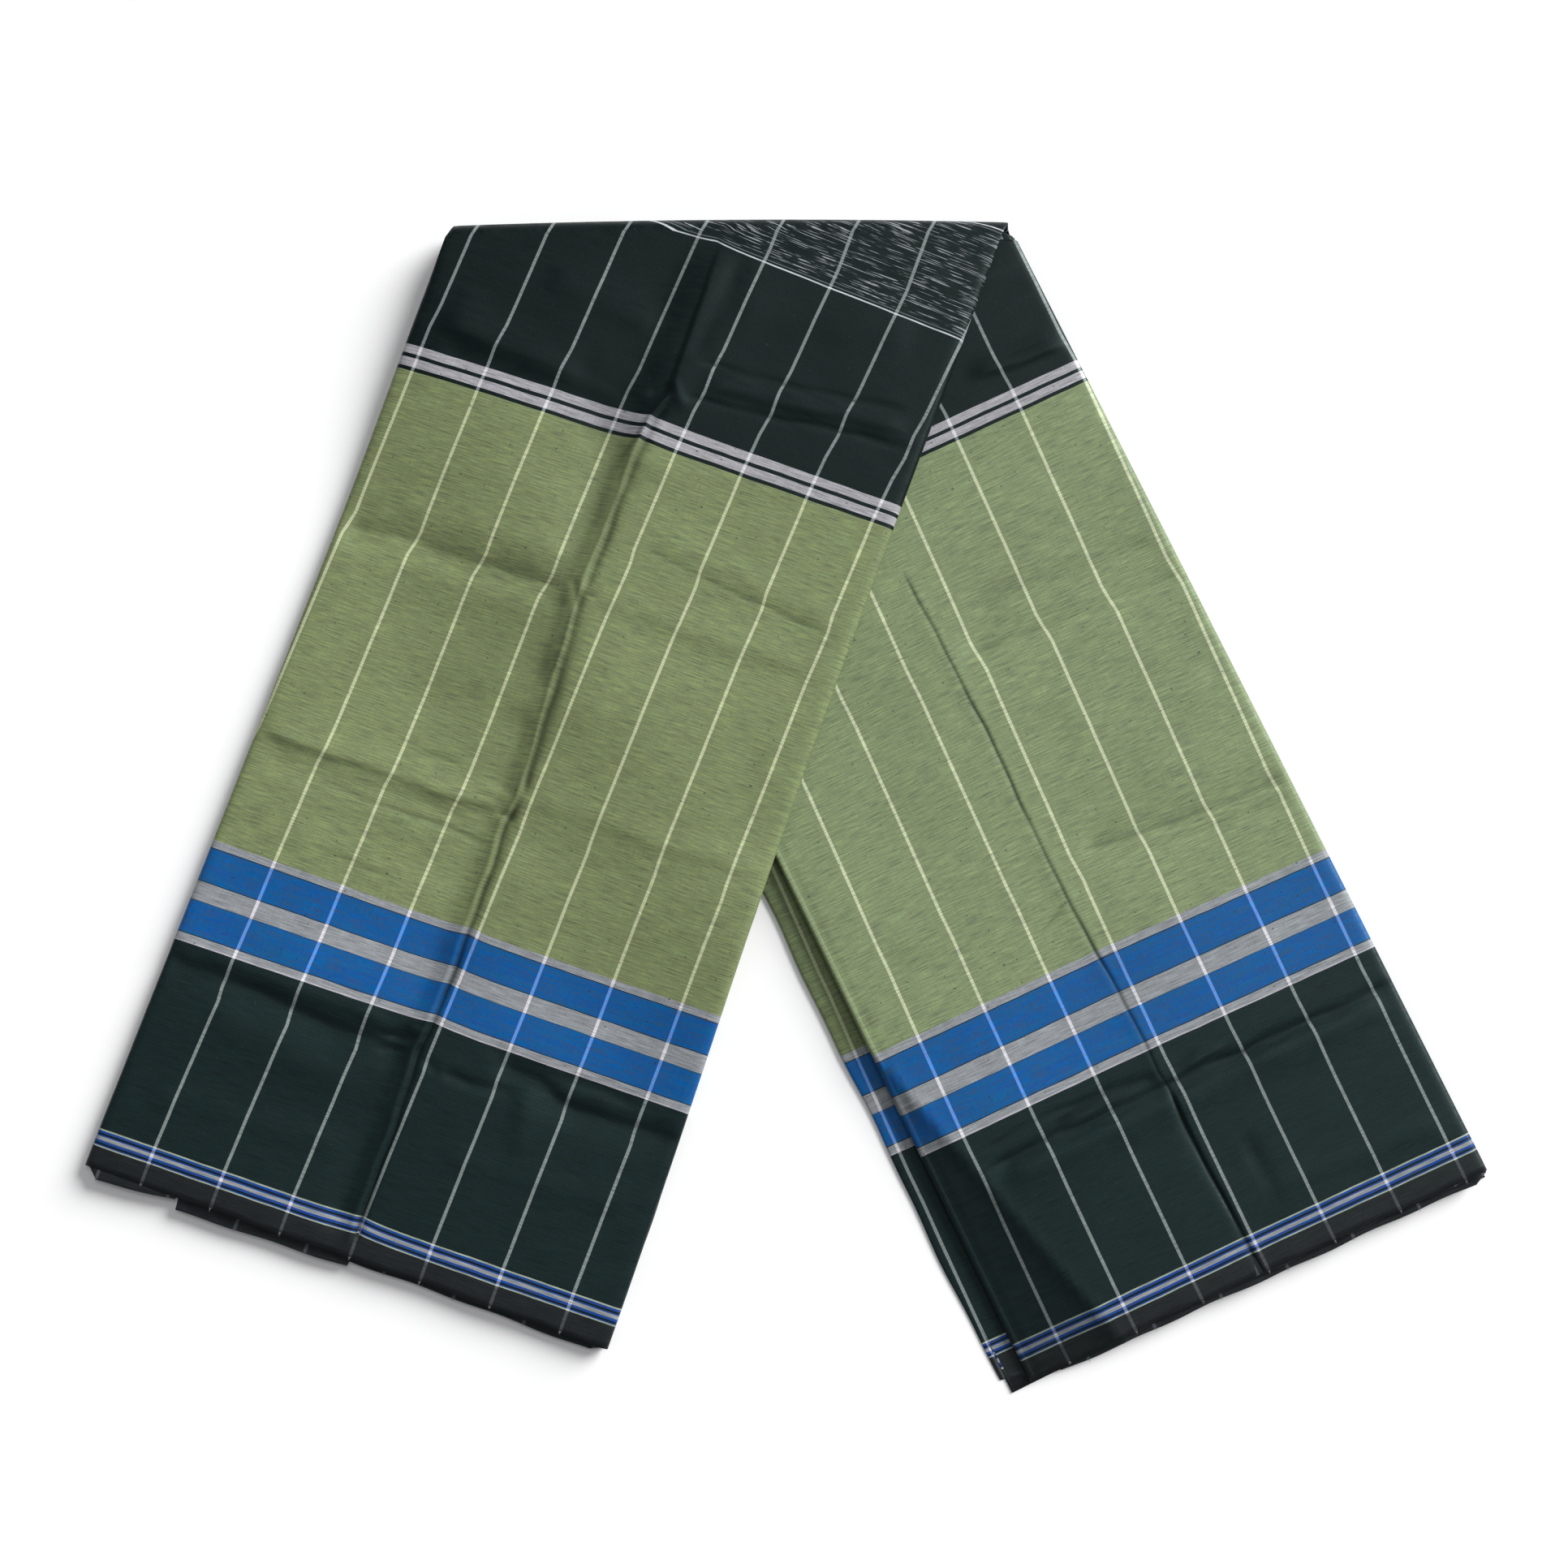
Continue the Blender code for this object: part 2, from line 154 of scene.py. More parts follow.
@dataclass(frozen=True)
class Leg:
    """Plan of one leg of the folded strip, in millimetres.

    Attributes:
        hem_left: Left end of the straight hem line.
        hem_right: Right end of it.
        far_left: Left end of the far edge.
        far_right: Right end of it.
        left_bow: How far the left side bows out.
        right_bow: How far the right side does.
        far_bow: How far the far edge bows away at its middle.
        fan_start: Distance from the hem where the rows start to fan out to the far edge.
        nominal: Distance that the last row stands for.
        stack: Height of its face over what it lies on.
    """

    hem_left: tuple[float, float]
    hem_right: tuple[float, float]
    far_left: tuple[float, float]
    far_right: tuple[float, float]
    left_bow: float
    right_bow: float
    far_bow: float
    fan_start: float
    nominal: float
    stack: float

    @property
    def width(self) -> float:
        """Straight width at the hem."""
        return math.dist(self.hem_left, self.hem_right)

    def hem_point(self, across: Numbers) -> tuple[Numbers, Numbers]:
        """Point of the straight hem line, at fractions across."""
        return (
            mix(self.hem_left[0], self.hem_right[0], across),
            mix(self.hem_left[1], self.hem_right[1], across),
        )

    def far_point(self, across: Numbers) -> tuple[Numbers, Numbers]:
        """Point of the far edge, which bows away a little at its middle."""
        bow = self.far_bow * 4.0 * across * (1.0 - across)
        return (
            mix(self.far_left[0], self.far_right[0], across),
            mix(self.far_left[1], self.far_right[1], across) + bow,
        )

    def length(self, across: Numbers) -> Numbers:
        """Straight length from the hem to the far edge."""
        hem_x, hem_y = self.hem_point(across)
        far_x, far_y = self.far_point(across)
        return np.hypot(far_x - hem_x, far_y - hem_y)

    def lean(self, across: Numbers) -> Numbers:
        """Sideways run for each millimetre of rise."""
        hem_x, hem_y = self.hem_point(across)
        far_x, far_y = self.far_point(across)
        return (far_x - hem_x) / (far_y - hem_y)

    def point(self, across: Numbers, distance: Numbers) -> tuple[Numbers, Numbers]:
        """Plan point in the leg.

        Args:
            across: Fraction across.
            distance: Distance from the hem.

        Returns:
            Its x and y, in millimetres.
        """
        share = distance / self.length(across)
        hem_x, hem_y = self.hem_point(across)
        far_x, far_y = self.far_point(across)
        swell = np.sin(math.pi * np.clip(share, 0.0, 1.0)) ** 2
        bow = self.left_bow * np.maximum(0.0, 1.0 - 2.0 * across)
        bow = bow + self.right_bow * np.maximum(0.0, 2.0 * across - 1.0)
        return mix(hem_x, far_x, share) + bow * swell, mix(hem_y, far_y, share)

    def end_distance(self, across: Numbers, inset: Numbers) -> Numbers:
        """Distance from the hem to where a layer stops, short of the far edge.

        Args:
            across: Fraction across.
            inset: How far short it stops, along Y.

        Returns:
            The distance, in millimetres.
        """
        rise = self.far_point(across)[1] - self.hem_point(across)[1]
        return self.length(across) * (1.0 - inset / rise)

    def spread(self, rows: Numbers, start: Numbers, end: Numbers) -> Numbers:
        """Distances of rows that start level with the hem and fan out to the far edge.

        Args:
            rows: Nominal distances.
            start: Distance of row 0.
            end: Distance of the nominal last row.

        Returns:
            The distances from the hem.
        """
        near = mix(start, self.fan_start, rows / self.fan_start)
        far = mix(self.fan_start, end, (rows - self.fan_start) / (self.nominal - self.fan_start))
        return np.where(rows <= self.fan_start, near, far)

    def calm(self, across: Numbers, y: Numbers) -> Numbers:
        """Share of the creases' height that is left near the far edge, at plan height y."""
        return smooth((self.far_point(across)[1] - BEND_CALM - y) / BEND_FADE)


LEFT_LEG = Leg(
    (-360, -196), (-91, -288), (-181, 306), (119, 308), 0.0, -3.5, 2.5, 490.0, 580.0, LEFT_STACK
)
RIGHT_LEG = Leg(
    (124, -306), (360, -202), (-180, 306), (121, 308), 3.0, 0.5, 2.5, 480.0, 600.0, RIGHT_STACK
)


@dataclass(frozen=True)
class ClothMap:
    """Where the woven pattern lies on a leg.

    Attributes:
        stations: Rows of (pattern distance, distance at the left side, middle and right side).
        lines: Rows of (distance, fraction across of line 0, fraction from line to line).
        crease: Points of the centre crease, as (fraction across, distance).
        pull: How far the bands are drawn up beside the centre crease.
        drift: Rows of (distance, sideways slip of the pattern on the left half, and on the right).
    """

    stations: tuple[tuple[float, float, float, float], ...]
    lines: tuple[tuple[float, float, float], ...]
    crease: tuple[tuple[float, float], ...]
    pull: float
    drift: tuple[tuple[float, float, float], ...]

    def slip(self, across: Numbers, distance: Numbers) -> Numbers:
        """Sideways slip of the pattern, which makes its lines kink at the cross creases.

        Args:
            across: Fraction across the leg.
            distance: Distance from its hem.

        Returns:
            The slip, in millimetres.
        """
        table = np.array(self.drift)
        left = np.interp(distance, table[:, 0], table[:, 1])
        right = np.interp(distance, table[:, 0], table[:, 2])
        return mix(left, right, smooth((across - 0.46) / 0.08))

    def crease_at(self, distance: Numbers) -> Numbers:
        """Fraction across of the leg's centre crease."""
        return np.interp(distance, [p[1] for p in self.crease], [p[0] for p in self.crease])

    def crease_shift(self, straight: np.ndarray, distance: np.ndarray) -> np.ndarray:
        """How far columns move over to run along the centre crease.

        Args:
            straight: Fractions across of the straight columns.
            distance: Distances from the hem.

        Returns:
            The shifts, as fractions across.
        """
        closeness = 1.0 - np.abs(2.0 * straight - 1.0)
        return (self.crease_at(distance) - 0.5) * closeness

    def line_places(self, distance: Numbers) -> tuple[Numbers, Numbers]:
        """Fraction across of line 0, and fraction from line to line."""
        table = np.array(self.lines)
        origin = np.interp(distance, table[:, 0], table[:, 1])
        return origin, np.interp(distance, table[:, 0], table[:, 2])

    def line_fraction(self, number: float, distance: float) -> float:
        """Fraction across of one pale line."""
        origin, spacing = self.line_places(distance)
        return float(origin + number * spacing)

    def pattern_across(self, across: Numbers, distance: Numbers) -> Numbers:
        """Distance across the cloth from line 0, in millimetres."""
        origin, spacing = self.line_places(distance)
        return LINE_PITCH * (across - origin) / spacing - self.slip(across, distance)

    def pattern_distance(self, across: Numbers, distance: Numbers) -> np.ndarray:
        """Distance along the cloth.

        Args:
            across: Fraction across the leg.
            distance: Distance from its hem.

        Returns:
            Distance from the selvedge, in millimetres.
        """
        across = np.asarray(across, float)
        beside = (across - self.crease_at(distance)) * CREASE_SCALE
        drawn = distance - self.pull * np.exp(-np.abs(beside) / PULL_REACH)
        half = np.clip(across * 2.0, 0.0, 2.0)
        result = np.zeros(np.broadcast(across, distance).shape)
        reached = [
            np.where(half < 1.0, mix(left, middle, half), mix(middle, right, half - 1.0))
            for _, left, middle, right in self.stations
        ]
        last = len(self.stations) - 2
        for k, (low, high) in enumerate(zip(self.stations, self.stations[1:])):
            share = (drawn - reached[k]) / (reached[k + 1] - reached[k])
            inside = ((share >= 0.0) | (k == 0)) & ((share < 1.0) | (k == last))
            result = np.where(inside, mix(low[0], high[0], share), result)
        return result

    def pattern(self, across: Numbers, distance: Numbers) -> tuple[Numbers, Numbers]:
        """Place on the cloth, across it and along it."""
        return self.pattern_across(across, distance), self.pattern_distance(across, distance)


LEFT_MAP = ClothMap(
    stations=(
        (0.0, 0.0, 0.0, 0.0),
        (21.4, 20.4, 20.8, 21.2),
        (125.0, 123.2, 124.4, 124.6),
        (180.0, 178.0, 176.6, 177.4),
        (450.0, 447.7, 449.6, 448.5),
        (463.5, 462.0, 464.5, 462.5),
        (567.0, 565.0, 566.4, 558.2),
        (640.0, 638.0, 639.4, 631.2),
    ),
    lines=(
        (20.0, -0.0233, 0.1333), (173.0, -0.0095, 0.1335), (449.0, 0.034, 0.1320),
        (575.0, 0.053, 0.1358),
    ),
    crease=(
        (0.509, 10), (0.501, 112), (0.508, 166), (0.504, 242), (0.495, 300), (0.481, 364),
        (0.490, 464), (0.518, 481), (0.510, 510), (0.494, 570),
    ),
    pull=1.6,
    drift=(
        (60, 0.0, 0.0), (100, 0.7, 0.3), (108, -0.5, -0.4), (150, 0.0, 0.0), (205, -0.3, 0.0),
        (233, -0.7, 0.3), (242, 0.6, -0.2), (258, 0.5, -0.3), (300, -0.2, 0.0), (354, -1.1, -0.2),
        (367, 1.1, 0.3), (385, 0.7, 0.6), (394, 0.5, -0.4), (440, 0.1, 0.0), (474, -0.5, -0.4),
        (487, 0.5, 0.6), (500, 0.4, -0.4), (512, 0.3, 0.4), (545, 0.0, 0.0),
    ),
)
RIGHT_MAP = ClothMap(
    stations=(
        (0.0, 1.2, 3.0, 3.7),
        (21.4, 22.4, 24.2, 25.1),
        (125.0, 127.0, 129.0, 130.0),
        (157.5, 160.5, 162.1, 162.8),
        (180.0, 184.5, 186.3, 186.0),
        (450.0, 456.0, 462.5, 466.0),
        (463.0, 469.0, 475.5, 479.0),
        (600.0, 607.0, 613.0, 617.0),
    ),
    lines=(
        (24.0, -0.0592, 0.1442), (181.6, -0.0455, 0.1435), (465.0, -0.010, 0.1430),
        (556.0, 0.007, 0.1410),
    ),
    crease=(
        (0.505, 5), (0.500, 107), (0.495, 178), (0.488, 230), (0.496, 315), (0.489, 410),
        (0.489, 600),
    ),
    pull=0.0,
    drift=(
        (80, 0.0, 0.0), (105, 0.2, 0.4), (122, -0.2, -0.3), (160, 0.0, 0.0), (216, 0.2, 0.4),
        (222, 0.2, 0.6), (236, -0.2, -0.5), (270, 0.0, 0.0), (320, 0.2, 0.6), (344, 0.3, 1.0),
        (361, -0.3, -0.8), (400, 0.0, -0.3), (440, 0.0, 0.0), (480, 0.0, 0.5), (496, 0.0, -0.5),
        (530, 0.0, 0.0),
    ),
)


@dataclass(frozen=True)
class Fold:
    """Crease in the cloth, from pressing or from gathering.

    Attributes:
        path: Points as (fraction across, distance from the hem).
        left: Soft width to the left of the path as it runs, in millimetres.
        right: Soft width to its right.
        height: Rise, or depth where negative.
        power: 2 for a rounded form, towards 1 for one with a sharp line.
        ends: Length over which it fades at its ends.
        shift: Sideways offset of the whole crease, positive to its left.
        wander: How far it strays from a straight run.
        painted_shade: Strength of the shade painted along its middle line, from 0 to 1.
        spread: Half width of that painted shade, in millimetres.
    """

    path: tuple[tuple[float, float], ...]
    left: float
    right: float
    height: float
    power: float = 2.0
    ends: float = 14.0
    shift: float = 0.0
    wander: float = 0.5
    painted_shade: float = 0.0
    spread: float = PAINTED_SHADE_WIDTH

    def shape_at(
        self, px: np.ndarray, py: np.ndarray, width: float
    ) -> tuple[np.ndarray, np.ndarray]:
        """Height and painted shade that this fold adds.

        Args:
            px: Distances across the leg, in millimetres.
            py: Distances from its hem.
            width: Width of the leg.

        Returns:
            Arrays of height and of painted shade.
        """
        nearest = np.full(px.shape, 1.0e9)
        side = np.zeros(px.shape)
        along = np.zeros(px.shape)
        run = 0.0
        for (a0, d0), (a1, d1) in zip(self.path, self.path[1:]):
            start = (a0 * width, d0)
            ux, uy = a1 * width - start[0], d1 - d0
            length = math.hypot(ux, uy)
            share = ((px - start[0]) * ux + (py - start[1]) * uy) / length**2
            share = np.clip(share, 0.0, 1.0)
            dx = px - start[0] - share * ux
            dy = py - start[1] - share * uy
            away = np.hypot(dx, dy)
            closer = away < nearest
            nearest = np.where(closer, away, nearest)
            side = np.where(closer, np.sign(ux * dy - uy * dx), side)
            along = np.where(closer, run + share * length, along)
            run += length
        # Two waves make it stray, and two more make it uneven, so no stretch looks ruled
        stray = np.sin(along / 11.0 + self.height * 5.0) + 0.6 * np.sin(along / 4.7 + self.left)
        uneven = 0.22 * np.sin(along / 19.0 + 7.0 * self.height)
        uneven = 1.0 + uneven + 0.12 * np.sin(along / 7.3)
        signed = nearest * side - self.shift + self.wander * stray
        reach = np.where(signed > 0.0, self.left, self.right)
        profile = np.exp(-((np.abs(signed) / reach) ** self.power))
        fade = smooth(along / self.ends) * smooth((run - along) / self.ends)
        # Shade painted into the colour along the fold's middle line
        line = np.exp(-((signed / self.spread) ** 2)) * self.painted_shade
        return self.height * profile * uneven * fade, line * uneven * fade


@dataclass(frozen=True)
class Relief:
    """All the creases of one face, and the soft unevenness between them.

    Attributes:
        folds: The creases.
        seed: Place in the noise, so that each face is uneven in its own way.
        strength: Factor on the height of all creases.
        swell: Height of the broad unevenness.
        grain: Height of the fine one.
    """

    folds: tuple[Fold, ...]
    seed: float
    strength: float = 1.5
    swell: float = 0.26
    grain: float = 0.14

    def shape_at(
        self, leg: Leg, across: np.ndarray, distance: np.ndarray
    ) -> tuple[np.ndarray, np.ndarray]:
        """Height over the plain face, and painted shade.

        Args:
            leg: The leg.
            across: Fractions across it.
            distance: Distances from its hem.

        Returns:
            Arrays of height and of painted shade.
        """
        px = across * leg.width
        py = distance + 0.0 * px
        height = np.zeros(px.shape)
        painted_shade = np.zeros(px.shape)
        for fold in self.folds:
            rise, line = fold.shape_at(px, py, leg.width)
            height += self.strength * rise
            # Painted shade of all the folds, combined
            painted_shade = painted_shade + line - painted_shade * line
        flat = np.empty(px.size)
        for k, (x, y) in enumerate(zip(px.ravel(), py.ravel())):
            broad = noise.noise(Vector((x / 42.0, y / 42.0, self.seed)))
            fine = noise.noise(Vector((x / 21.0, y / 9.0, self.seed + 5.0)))
            flat[k] = self.swell * broad + self.grain * fine
        return height + flat.reshape(px.shape), painted_shade

    def broad_height(self, leg: Leg, across: np.ndarray, distance: np.ndarray) -> np.ndarray:
        """Height of the broad creases alone, which the hidden layers share.

        Args:
            leg: The leg.
            across: Fractions across it.
            distance: Distances from its hem.

        Returns:
            Array of height.
        """
        px = across * leg.width
        py = distance + 0.0 * px
        total = np.zeros(px.shape)
        for fold in self.folds:
            if fold.left + fold.right > BROAD_CREASE:
                total = total + self.strength * fold.shape_at(px, py, leg.width)[0]
        return total


LEFT_RIB = (
    (0.497, 6), (0.489, 112), (0.497, 166), (0.493, 236), (0.504, 250), (0.494, 300), (0.482, 364),
    (0.487, 440), (0.492, 464), (0.512, 480),
)
LEFT_TOP = ((0.470, 430), (0.500, 470), (0.513, 482), (0.510, 510), (0.506, 578))
LEFT_RELIEF = Relief(
    # press on a fold gives shade painted along it, beside its form
    folds=(
        # Centre crease: a slope up from the left, a narrow rib on its crest, and a groove
        # on its right
        Fold(LEFT_RIB, 75.0, 19.0, -1.1, power=1.8, ends=40.0, shift=22.0),
        Fold(((0.525, 150), (0.525, 360)), 7.0, 70.0, 1.5, power=1.6, ends=60.0),
        Fold(
            LEFT_RIB[:6], 8.0, 6.0, -0.85, power=1.7, ends=14.0, shift=8.5, painted_shade=0.14, spread=8.0,
        ),
        Fold(
            LEFT_RIB[5:], 10.0, 7.0, -1.5, power=1.6, ends=22.0, shift=9.0, painted_shade=0.42, spread=8.5,
        ),
        Fold(LEFT_RIB, 1.6, 1.3, 0.45, power=1.6, ends=8.0),
        Fold(
            LEFT_RIB[:5], 1.3, 1.7, -0.85, power=1.5, ends=8.0, shift=-3.0, painted_shade=0.95, spread=1.5,
        ),
        Fold(LEFT_RIB[4:], 1.5, 2.2, -0.9, power=1.5, ends=8.0, shift=-2.6, painted_shade=0.6, spread=2.1),
        Fold(LEFT_TOP, 9.0, 24.0, 1.15, power=1.15, ends=16.0, wander=0.2),
        Fold(
            LEFT_TOP, 26.0, 12.0, -1.0, power=1.7, ends=16.0, shift=20.0, painted_shade=0.35, spread=15.0,
        ),
        Fold(
            LEFT_TOP, 4.0, 1.2, -0.35, power=1.4, ends=16.0, shift=1.8, wander=0.2, painted_shade=0.8,
            spread=1.9,
        ),
        Fold(((0.53, 500), (0.555, 570)), 5.0, 5.0, -0.4, painted_shade=0.2, spread=4.0),
        # Gathers where cross creases meet it
        Fold(((0.500, 488), (0.555, 472)), 3.4, 2.6, 0.55, ends=6.0),
        Fold(((0.470, 474), (0.524, 485)), 3.4, 2.6, -0.6, ends=6.0, painted_shade=0.3),
        Fold(((0.455, 354), (0.502, 367)), 2.8, 2.2, 0.6, ends=5.0),
        Fold(((0.460, 370), (0.494, 352)), 2.2, 2.2, -0.5, ends=5.0, painted_shade=0.3),
        Fold(((0.488, 364), (0.525, 362)), 1.5, 1.2, -0.5, power=1.4, ends=6.0, painted_shade=0.55),
        Fold(((0.430, 250), (0.499, 248)), 2.0, 1.8, 0.45, power=1.5, ends=6.0),
        Fold(((0.470, 241), (0.525, 236)), 2.4, 2.0, -0.6, ends=6.0, painted_shade=0.3),
        Fold(((0.450, 124), (0.508, 111)), 3.0, 2.6, 0.55, ends=6.0),
        Fold(((0.430, 112), (0.504, 117)), 3.0, 2.4, -0.5, ends=6.0, painted_shade=0.25),
        Fold(((0.500, 108), (0.550, 100)), 3.0, 2.2, -0.45, ends=6.0, painted_shade=0.25),
        # Cross creases, from the hem to the far edge
        Fold(
            (
                (-0.02, 115), (0.115, 112), (0.245, 110.5), (0.33, 107.5), (0.407, 107.5),
                (0.488, 110),
            ),
            4.0, 11.0, -1.25, power=1.6, painted_shade=0.62, spread=2.5,
        ),
        Fold(((0.05, 121), (0.44, 118)), 5.0, 4.0, 0.45),
        Fold(
            ((0.405, 112.5), (0.467, 112), (0.49, 118)), 1.2, 1.4, -0.5, power=1.4, ends=4.0,
            painted_shade=0.6,
        ),
        Fold(((0.42, 104), (0.482, 107)), 1.2, 1.4, -0.45, power=1.4, ends=4.0, painted_shade=0.6),
        Fold(((0.415, 109.5), (0.475, 109.5)), 1.3, 1.1, 0.5, power=1.5, ends=4.0),
        Fold(
            ((0.62, 118), (0.72, 116.5), (0.77, 109), (0.805, 108), (0.887, 109.7), (1.02, 110)),
            3.6, 9.0, -1.05, power=1.6, painted_shade=0.6, spread=2.7,
        ),
        Fold(((0.60, 122), (0.77, 121.5), (0.93, 120)), 4.0, 3.0, -0.4, painted_shade=0.35, spread=2.6),
        Fold(
            ((0.545, 104), (0.607, 102.2), (0.695, 107)), 2.5, 3.5, -0.6, ends=8.0, painted_shade=0.45,
            spread=1.9,
        ),
        Fold(((0.70, 115), (0.712, 101), (0.735, 70)), 6.0, 5.0, 0.55),
        Fold(((0.10, 92), (0.42, 82)), 9.0, 8.0, 0.4),
        Fold(((0.05, 46), (0.44, 52)), 5.0, 7.0, 0.35),
        Fold(((0.60, 62), (0.96, 70)), 7.0, 5.0, 0.35),
        Fold(((0.17, 192), (0.35, 190)), 1.2, 1.4, -0.28, power=1.3, painted_shade=0.55),
        Fold(((0.10, 197), (0.46, 188)), 7.0, 7.0, 0.35),
        Fold(((0.13, 225), (0.30, 224), (0.495, 223)), 1.4, 1.5, -0.34, power=1.3, painted_shade=0.55),
        Fold(
            ((0.00, 240), (0.11, 240), (0.395, 240), (0.50, 242)), 10.0, 2.4, 0.95, power=1.7,
            painted_shade=0.2,
        ),
        Fold(((0.02, 228), (0.46, 231)), 4.0, 7.0, -0.55),
        Fold(((0.28, 256), (0.40, 258.5)), 1.2, 1.4, -0.3, power=1.3, painted_shade=0.55),
        Fold(((0.52, 248), (0.68, 252), (0.81, 251), (1.0, 255)), 8.0, 4.0, 0.42),
        Fold(((0.00, 354), (0.14, 359), (0.27, 357.5), (0.46, 359.5)), 17.0, 8.0, -1.3),
        Fold(
            ((0.00, 357), (0.14, 362), (0.27, 360.5), (0.46, 362.5)), 4.5, 1.8, -0.6, power=1.6,
            painted_shade=0.3, spread=2.6,
        ),
        Fold(((0.08, 378), (0.45, 376)), 8.0, 10.0, 0.45),
        Fold(((0.52, 362), (0.64, 363), (0.80, 362), (1.0, 366)), 10.0, 6.0, 0.6),
        Fold(
            ((0.56, 396), (0.68, 392.5), (0.75, 389), (0.99, 383.5)), 1.1, 1.1, -0.3, power=1.2,
            painted_shade=0.6, spread=0.8,
        ),
        Fold(((0.58, 404), (0.96, 391)), 7.0, 6.0, 0.35),
        Fold(((0.10, 300), (0.42, 305)), 14.0, 12.0, 0.35),
        Fold(((0.58, 300), (0.95, 306)), 16.0, 12.0, -0.35),
        Fold(((0.04, 479), (0.20, 476), (0.35, 474)), 13.0, 6.0, 0.95),
        Fold(((0.06, 466), (0.44, 462)), 5.0, 10.0, -0.6),
        Fold(((0.53, 480), (0.70, 485), (0.99, 494)), 1.6, 1.6, -0.55, power=1.4, painted_shade=0.9),
        Fold(((0.55, 490), (0.75, 496), (0.97, 503)), 6.0, 4.0, 0.7),
        Fold(
            ((0.53, 501), (0.78, 506), (0.96, 513)), 1.4, 1.6, -0.45, power=1.4, painted_shade=0.9,
            spread=0.9,
        ),
        Fold(((0.20, 520), (0.46, 512)), 10.0, 8.0, 0.5),
        Fold(((0.56, 535), (0.92, 552)), 12.0, 9.0, 0.45),
        Fold(((0.62, 575), (0.95, 592)), 9.0, 7.0, 0.35),
    ),
    seed=3.0,
)

RIGHT_CREASE = (
    (0.506, -10), (0.503, 27), (0.499, 83), (0.501, 107), (0.497, 116), (0.501, 130), (0.495, 178),
    (0.488, 230), (0.496, 315), (0.489, 412),
)
RIGHT_RELIEF = Relief(
    # press on a fold gives shade painted along it, beside its form
    folds=(
        # Long crease from pressing: one sharp line of painted shade, with hardly any form beside it
        Fold(RIGHT_CREASE, 1.1, 1.0, -0.35, power=1.3, ends=16.0, wander=0.25, painted_shade=0.85),
        Fold(
            RIGHT_CREASE[:4], 3.2, 1.1, -0.62, power=1.4, ends=9.0, shift=0.5, wander=0.25,
            painted_shade=0.72, spread=1.4,
        ),
        Fold(RIGHT_CREASE, 5.0, 4.0, 0.18, ends=16.0),
        Fold(((0.488, 216), (0.418, 208)), 1.0, 1.0, -0.4, power=1.2, ends=6.0, painted_shade=0.55),
        # Cross creases, from the hem to the far edge
        Fold(((0.56, 40), (0.98, 34)), 6.0, 5.0, 0.3),
        Fold(
            (
                (0.10, 107.5), (0.24, 108.8), (0.38, 109.3), (0.50, 108.4), (0.59, 110.8),
                (0.67, 109.2), (1.01, 109.8),
            ),
            2.2, 7.0, -0.9, power=1.5, painted_shade=0.95, spread=1.5,
        ),
        Fold(((0.12, 101), (0.50, 101), (0.98, 102.5)), 5.0, 9.0, 0.8),
        Fold(
            ((0.25, 110.5), (0.32, 115.5), (0.39, 118.5), (0.44, 117.4), (0.50, 114.5)), 3.0, 3.0,
            -0.6, ends=8.0, painted_shade=0.75, spread=2.4,
        ),
        Fold(((0.098, 115.5), (0.23, 121), (0.377, 119)), 1.2, 1.4, -0.4, power=1.4, painted_shade=0.6),
        Fold(((0.52, 113), (0.587, 118.3)), 1.2, 1.2, -0.45, power=1.4, ends=4.0, painted_shade=0.8),
        Fold(((0.55, 113.5), (0.64, 114.5)), 1.3, 1.1, 0.5, power=1.5, ends=4.0),
        Fold(((0.589, 74), (0.598, 28)), 4.0, 3.0, -0.5, painted_shade=0.3, spread=2.6),
        Fold(
            ((0.54, 238), (0.675, 233), (0.82, 231), (0.963, 228), (1.005, 228)), 8.0, 3.0, -0.9,
            power=1.7, painted_shade=0.5, spread=1.7,
        ),
        Fold(((0.56, 379), (0.80, 376), (0.98, 371)), 6.0, 4.0, -0.7, painted_shade=0.22, spread=4.0),
        Fold(((0.58, 225), (0.82, 219), (0.99, 217)), 3.0, 2.2, -0.4, power=1.5),
        Fold(((0.12, 226), (0.44, 230)), 9.0, 8.0, 0.3),
        Fold(
            ((0.51, 356), (0.69, 353.5), (0.83, 353), (0.98, 350.5), (1.0, 350.5)), 12.0, 3.0,
            -0.8, power=1.6, painted_shade=0.35,
        ),
        Fold(((0.62, 300), (0.96, 292)), 12.0, 10.0, 0.35),
        Fold(((0.775, 492), (1.005, 490)), 8.0, 3.0, 0.8, power=1.7),
        Fold(((0.80, 420), (1.0, 424)), 9.0, 8.0, -0.35),
        Fold(((0.86, 540), (1.0, 545)), 8.0, 6.0, 0.5),
    ),
    seed=11.0,
    swell=0.24,
)

# Diagonal crease of the right leg: its far and near end, and the corner's drop and the shade
# painted past it
SAG_FAR = (0.002, 186.0)
SAG_NEAR = (0.195, 1.0)
SAG_DEPTH = 5.8
SAG_POWER = 0.64
FACET_SHADE = 0.72


def past_diagonal(across: Numbers, distance: Numbers) -> tuple[Numbers, float]:
    """How far points of the right leg lie past its diagonal crease.

    Args:
        across: Fraction across the leg.
        distance: Distance from its hem.

    Returns:
        How far they lie past it, and how far the leg's corner does.
    """
    width = RIGHT_LEG.width
    ax, ay = SAG_FAR[0] * width, SAG_FAR[1]
    bx, by = SAG_NEAR[0] * width, SAG_NEAR[1]
    span = math.hypot(bx - ax, by - ay)
    past = ((bx - ax) * (ay - distance) - (by - ay) * (ax - across * width)) / span
    return past, ((bx - ax) * ay - (by - ay) * ax) / span


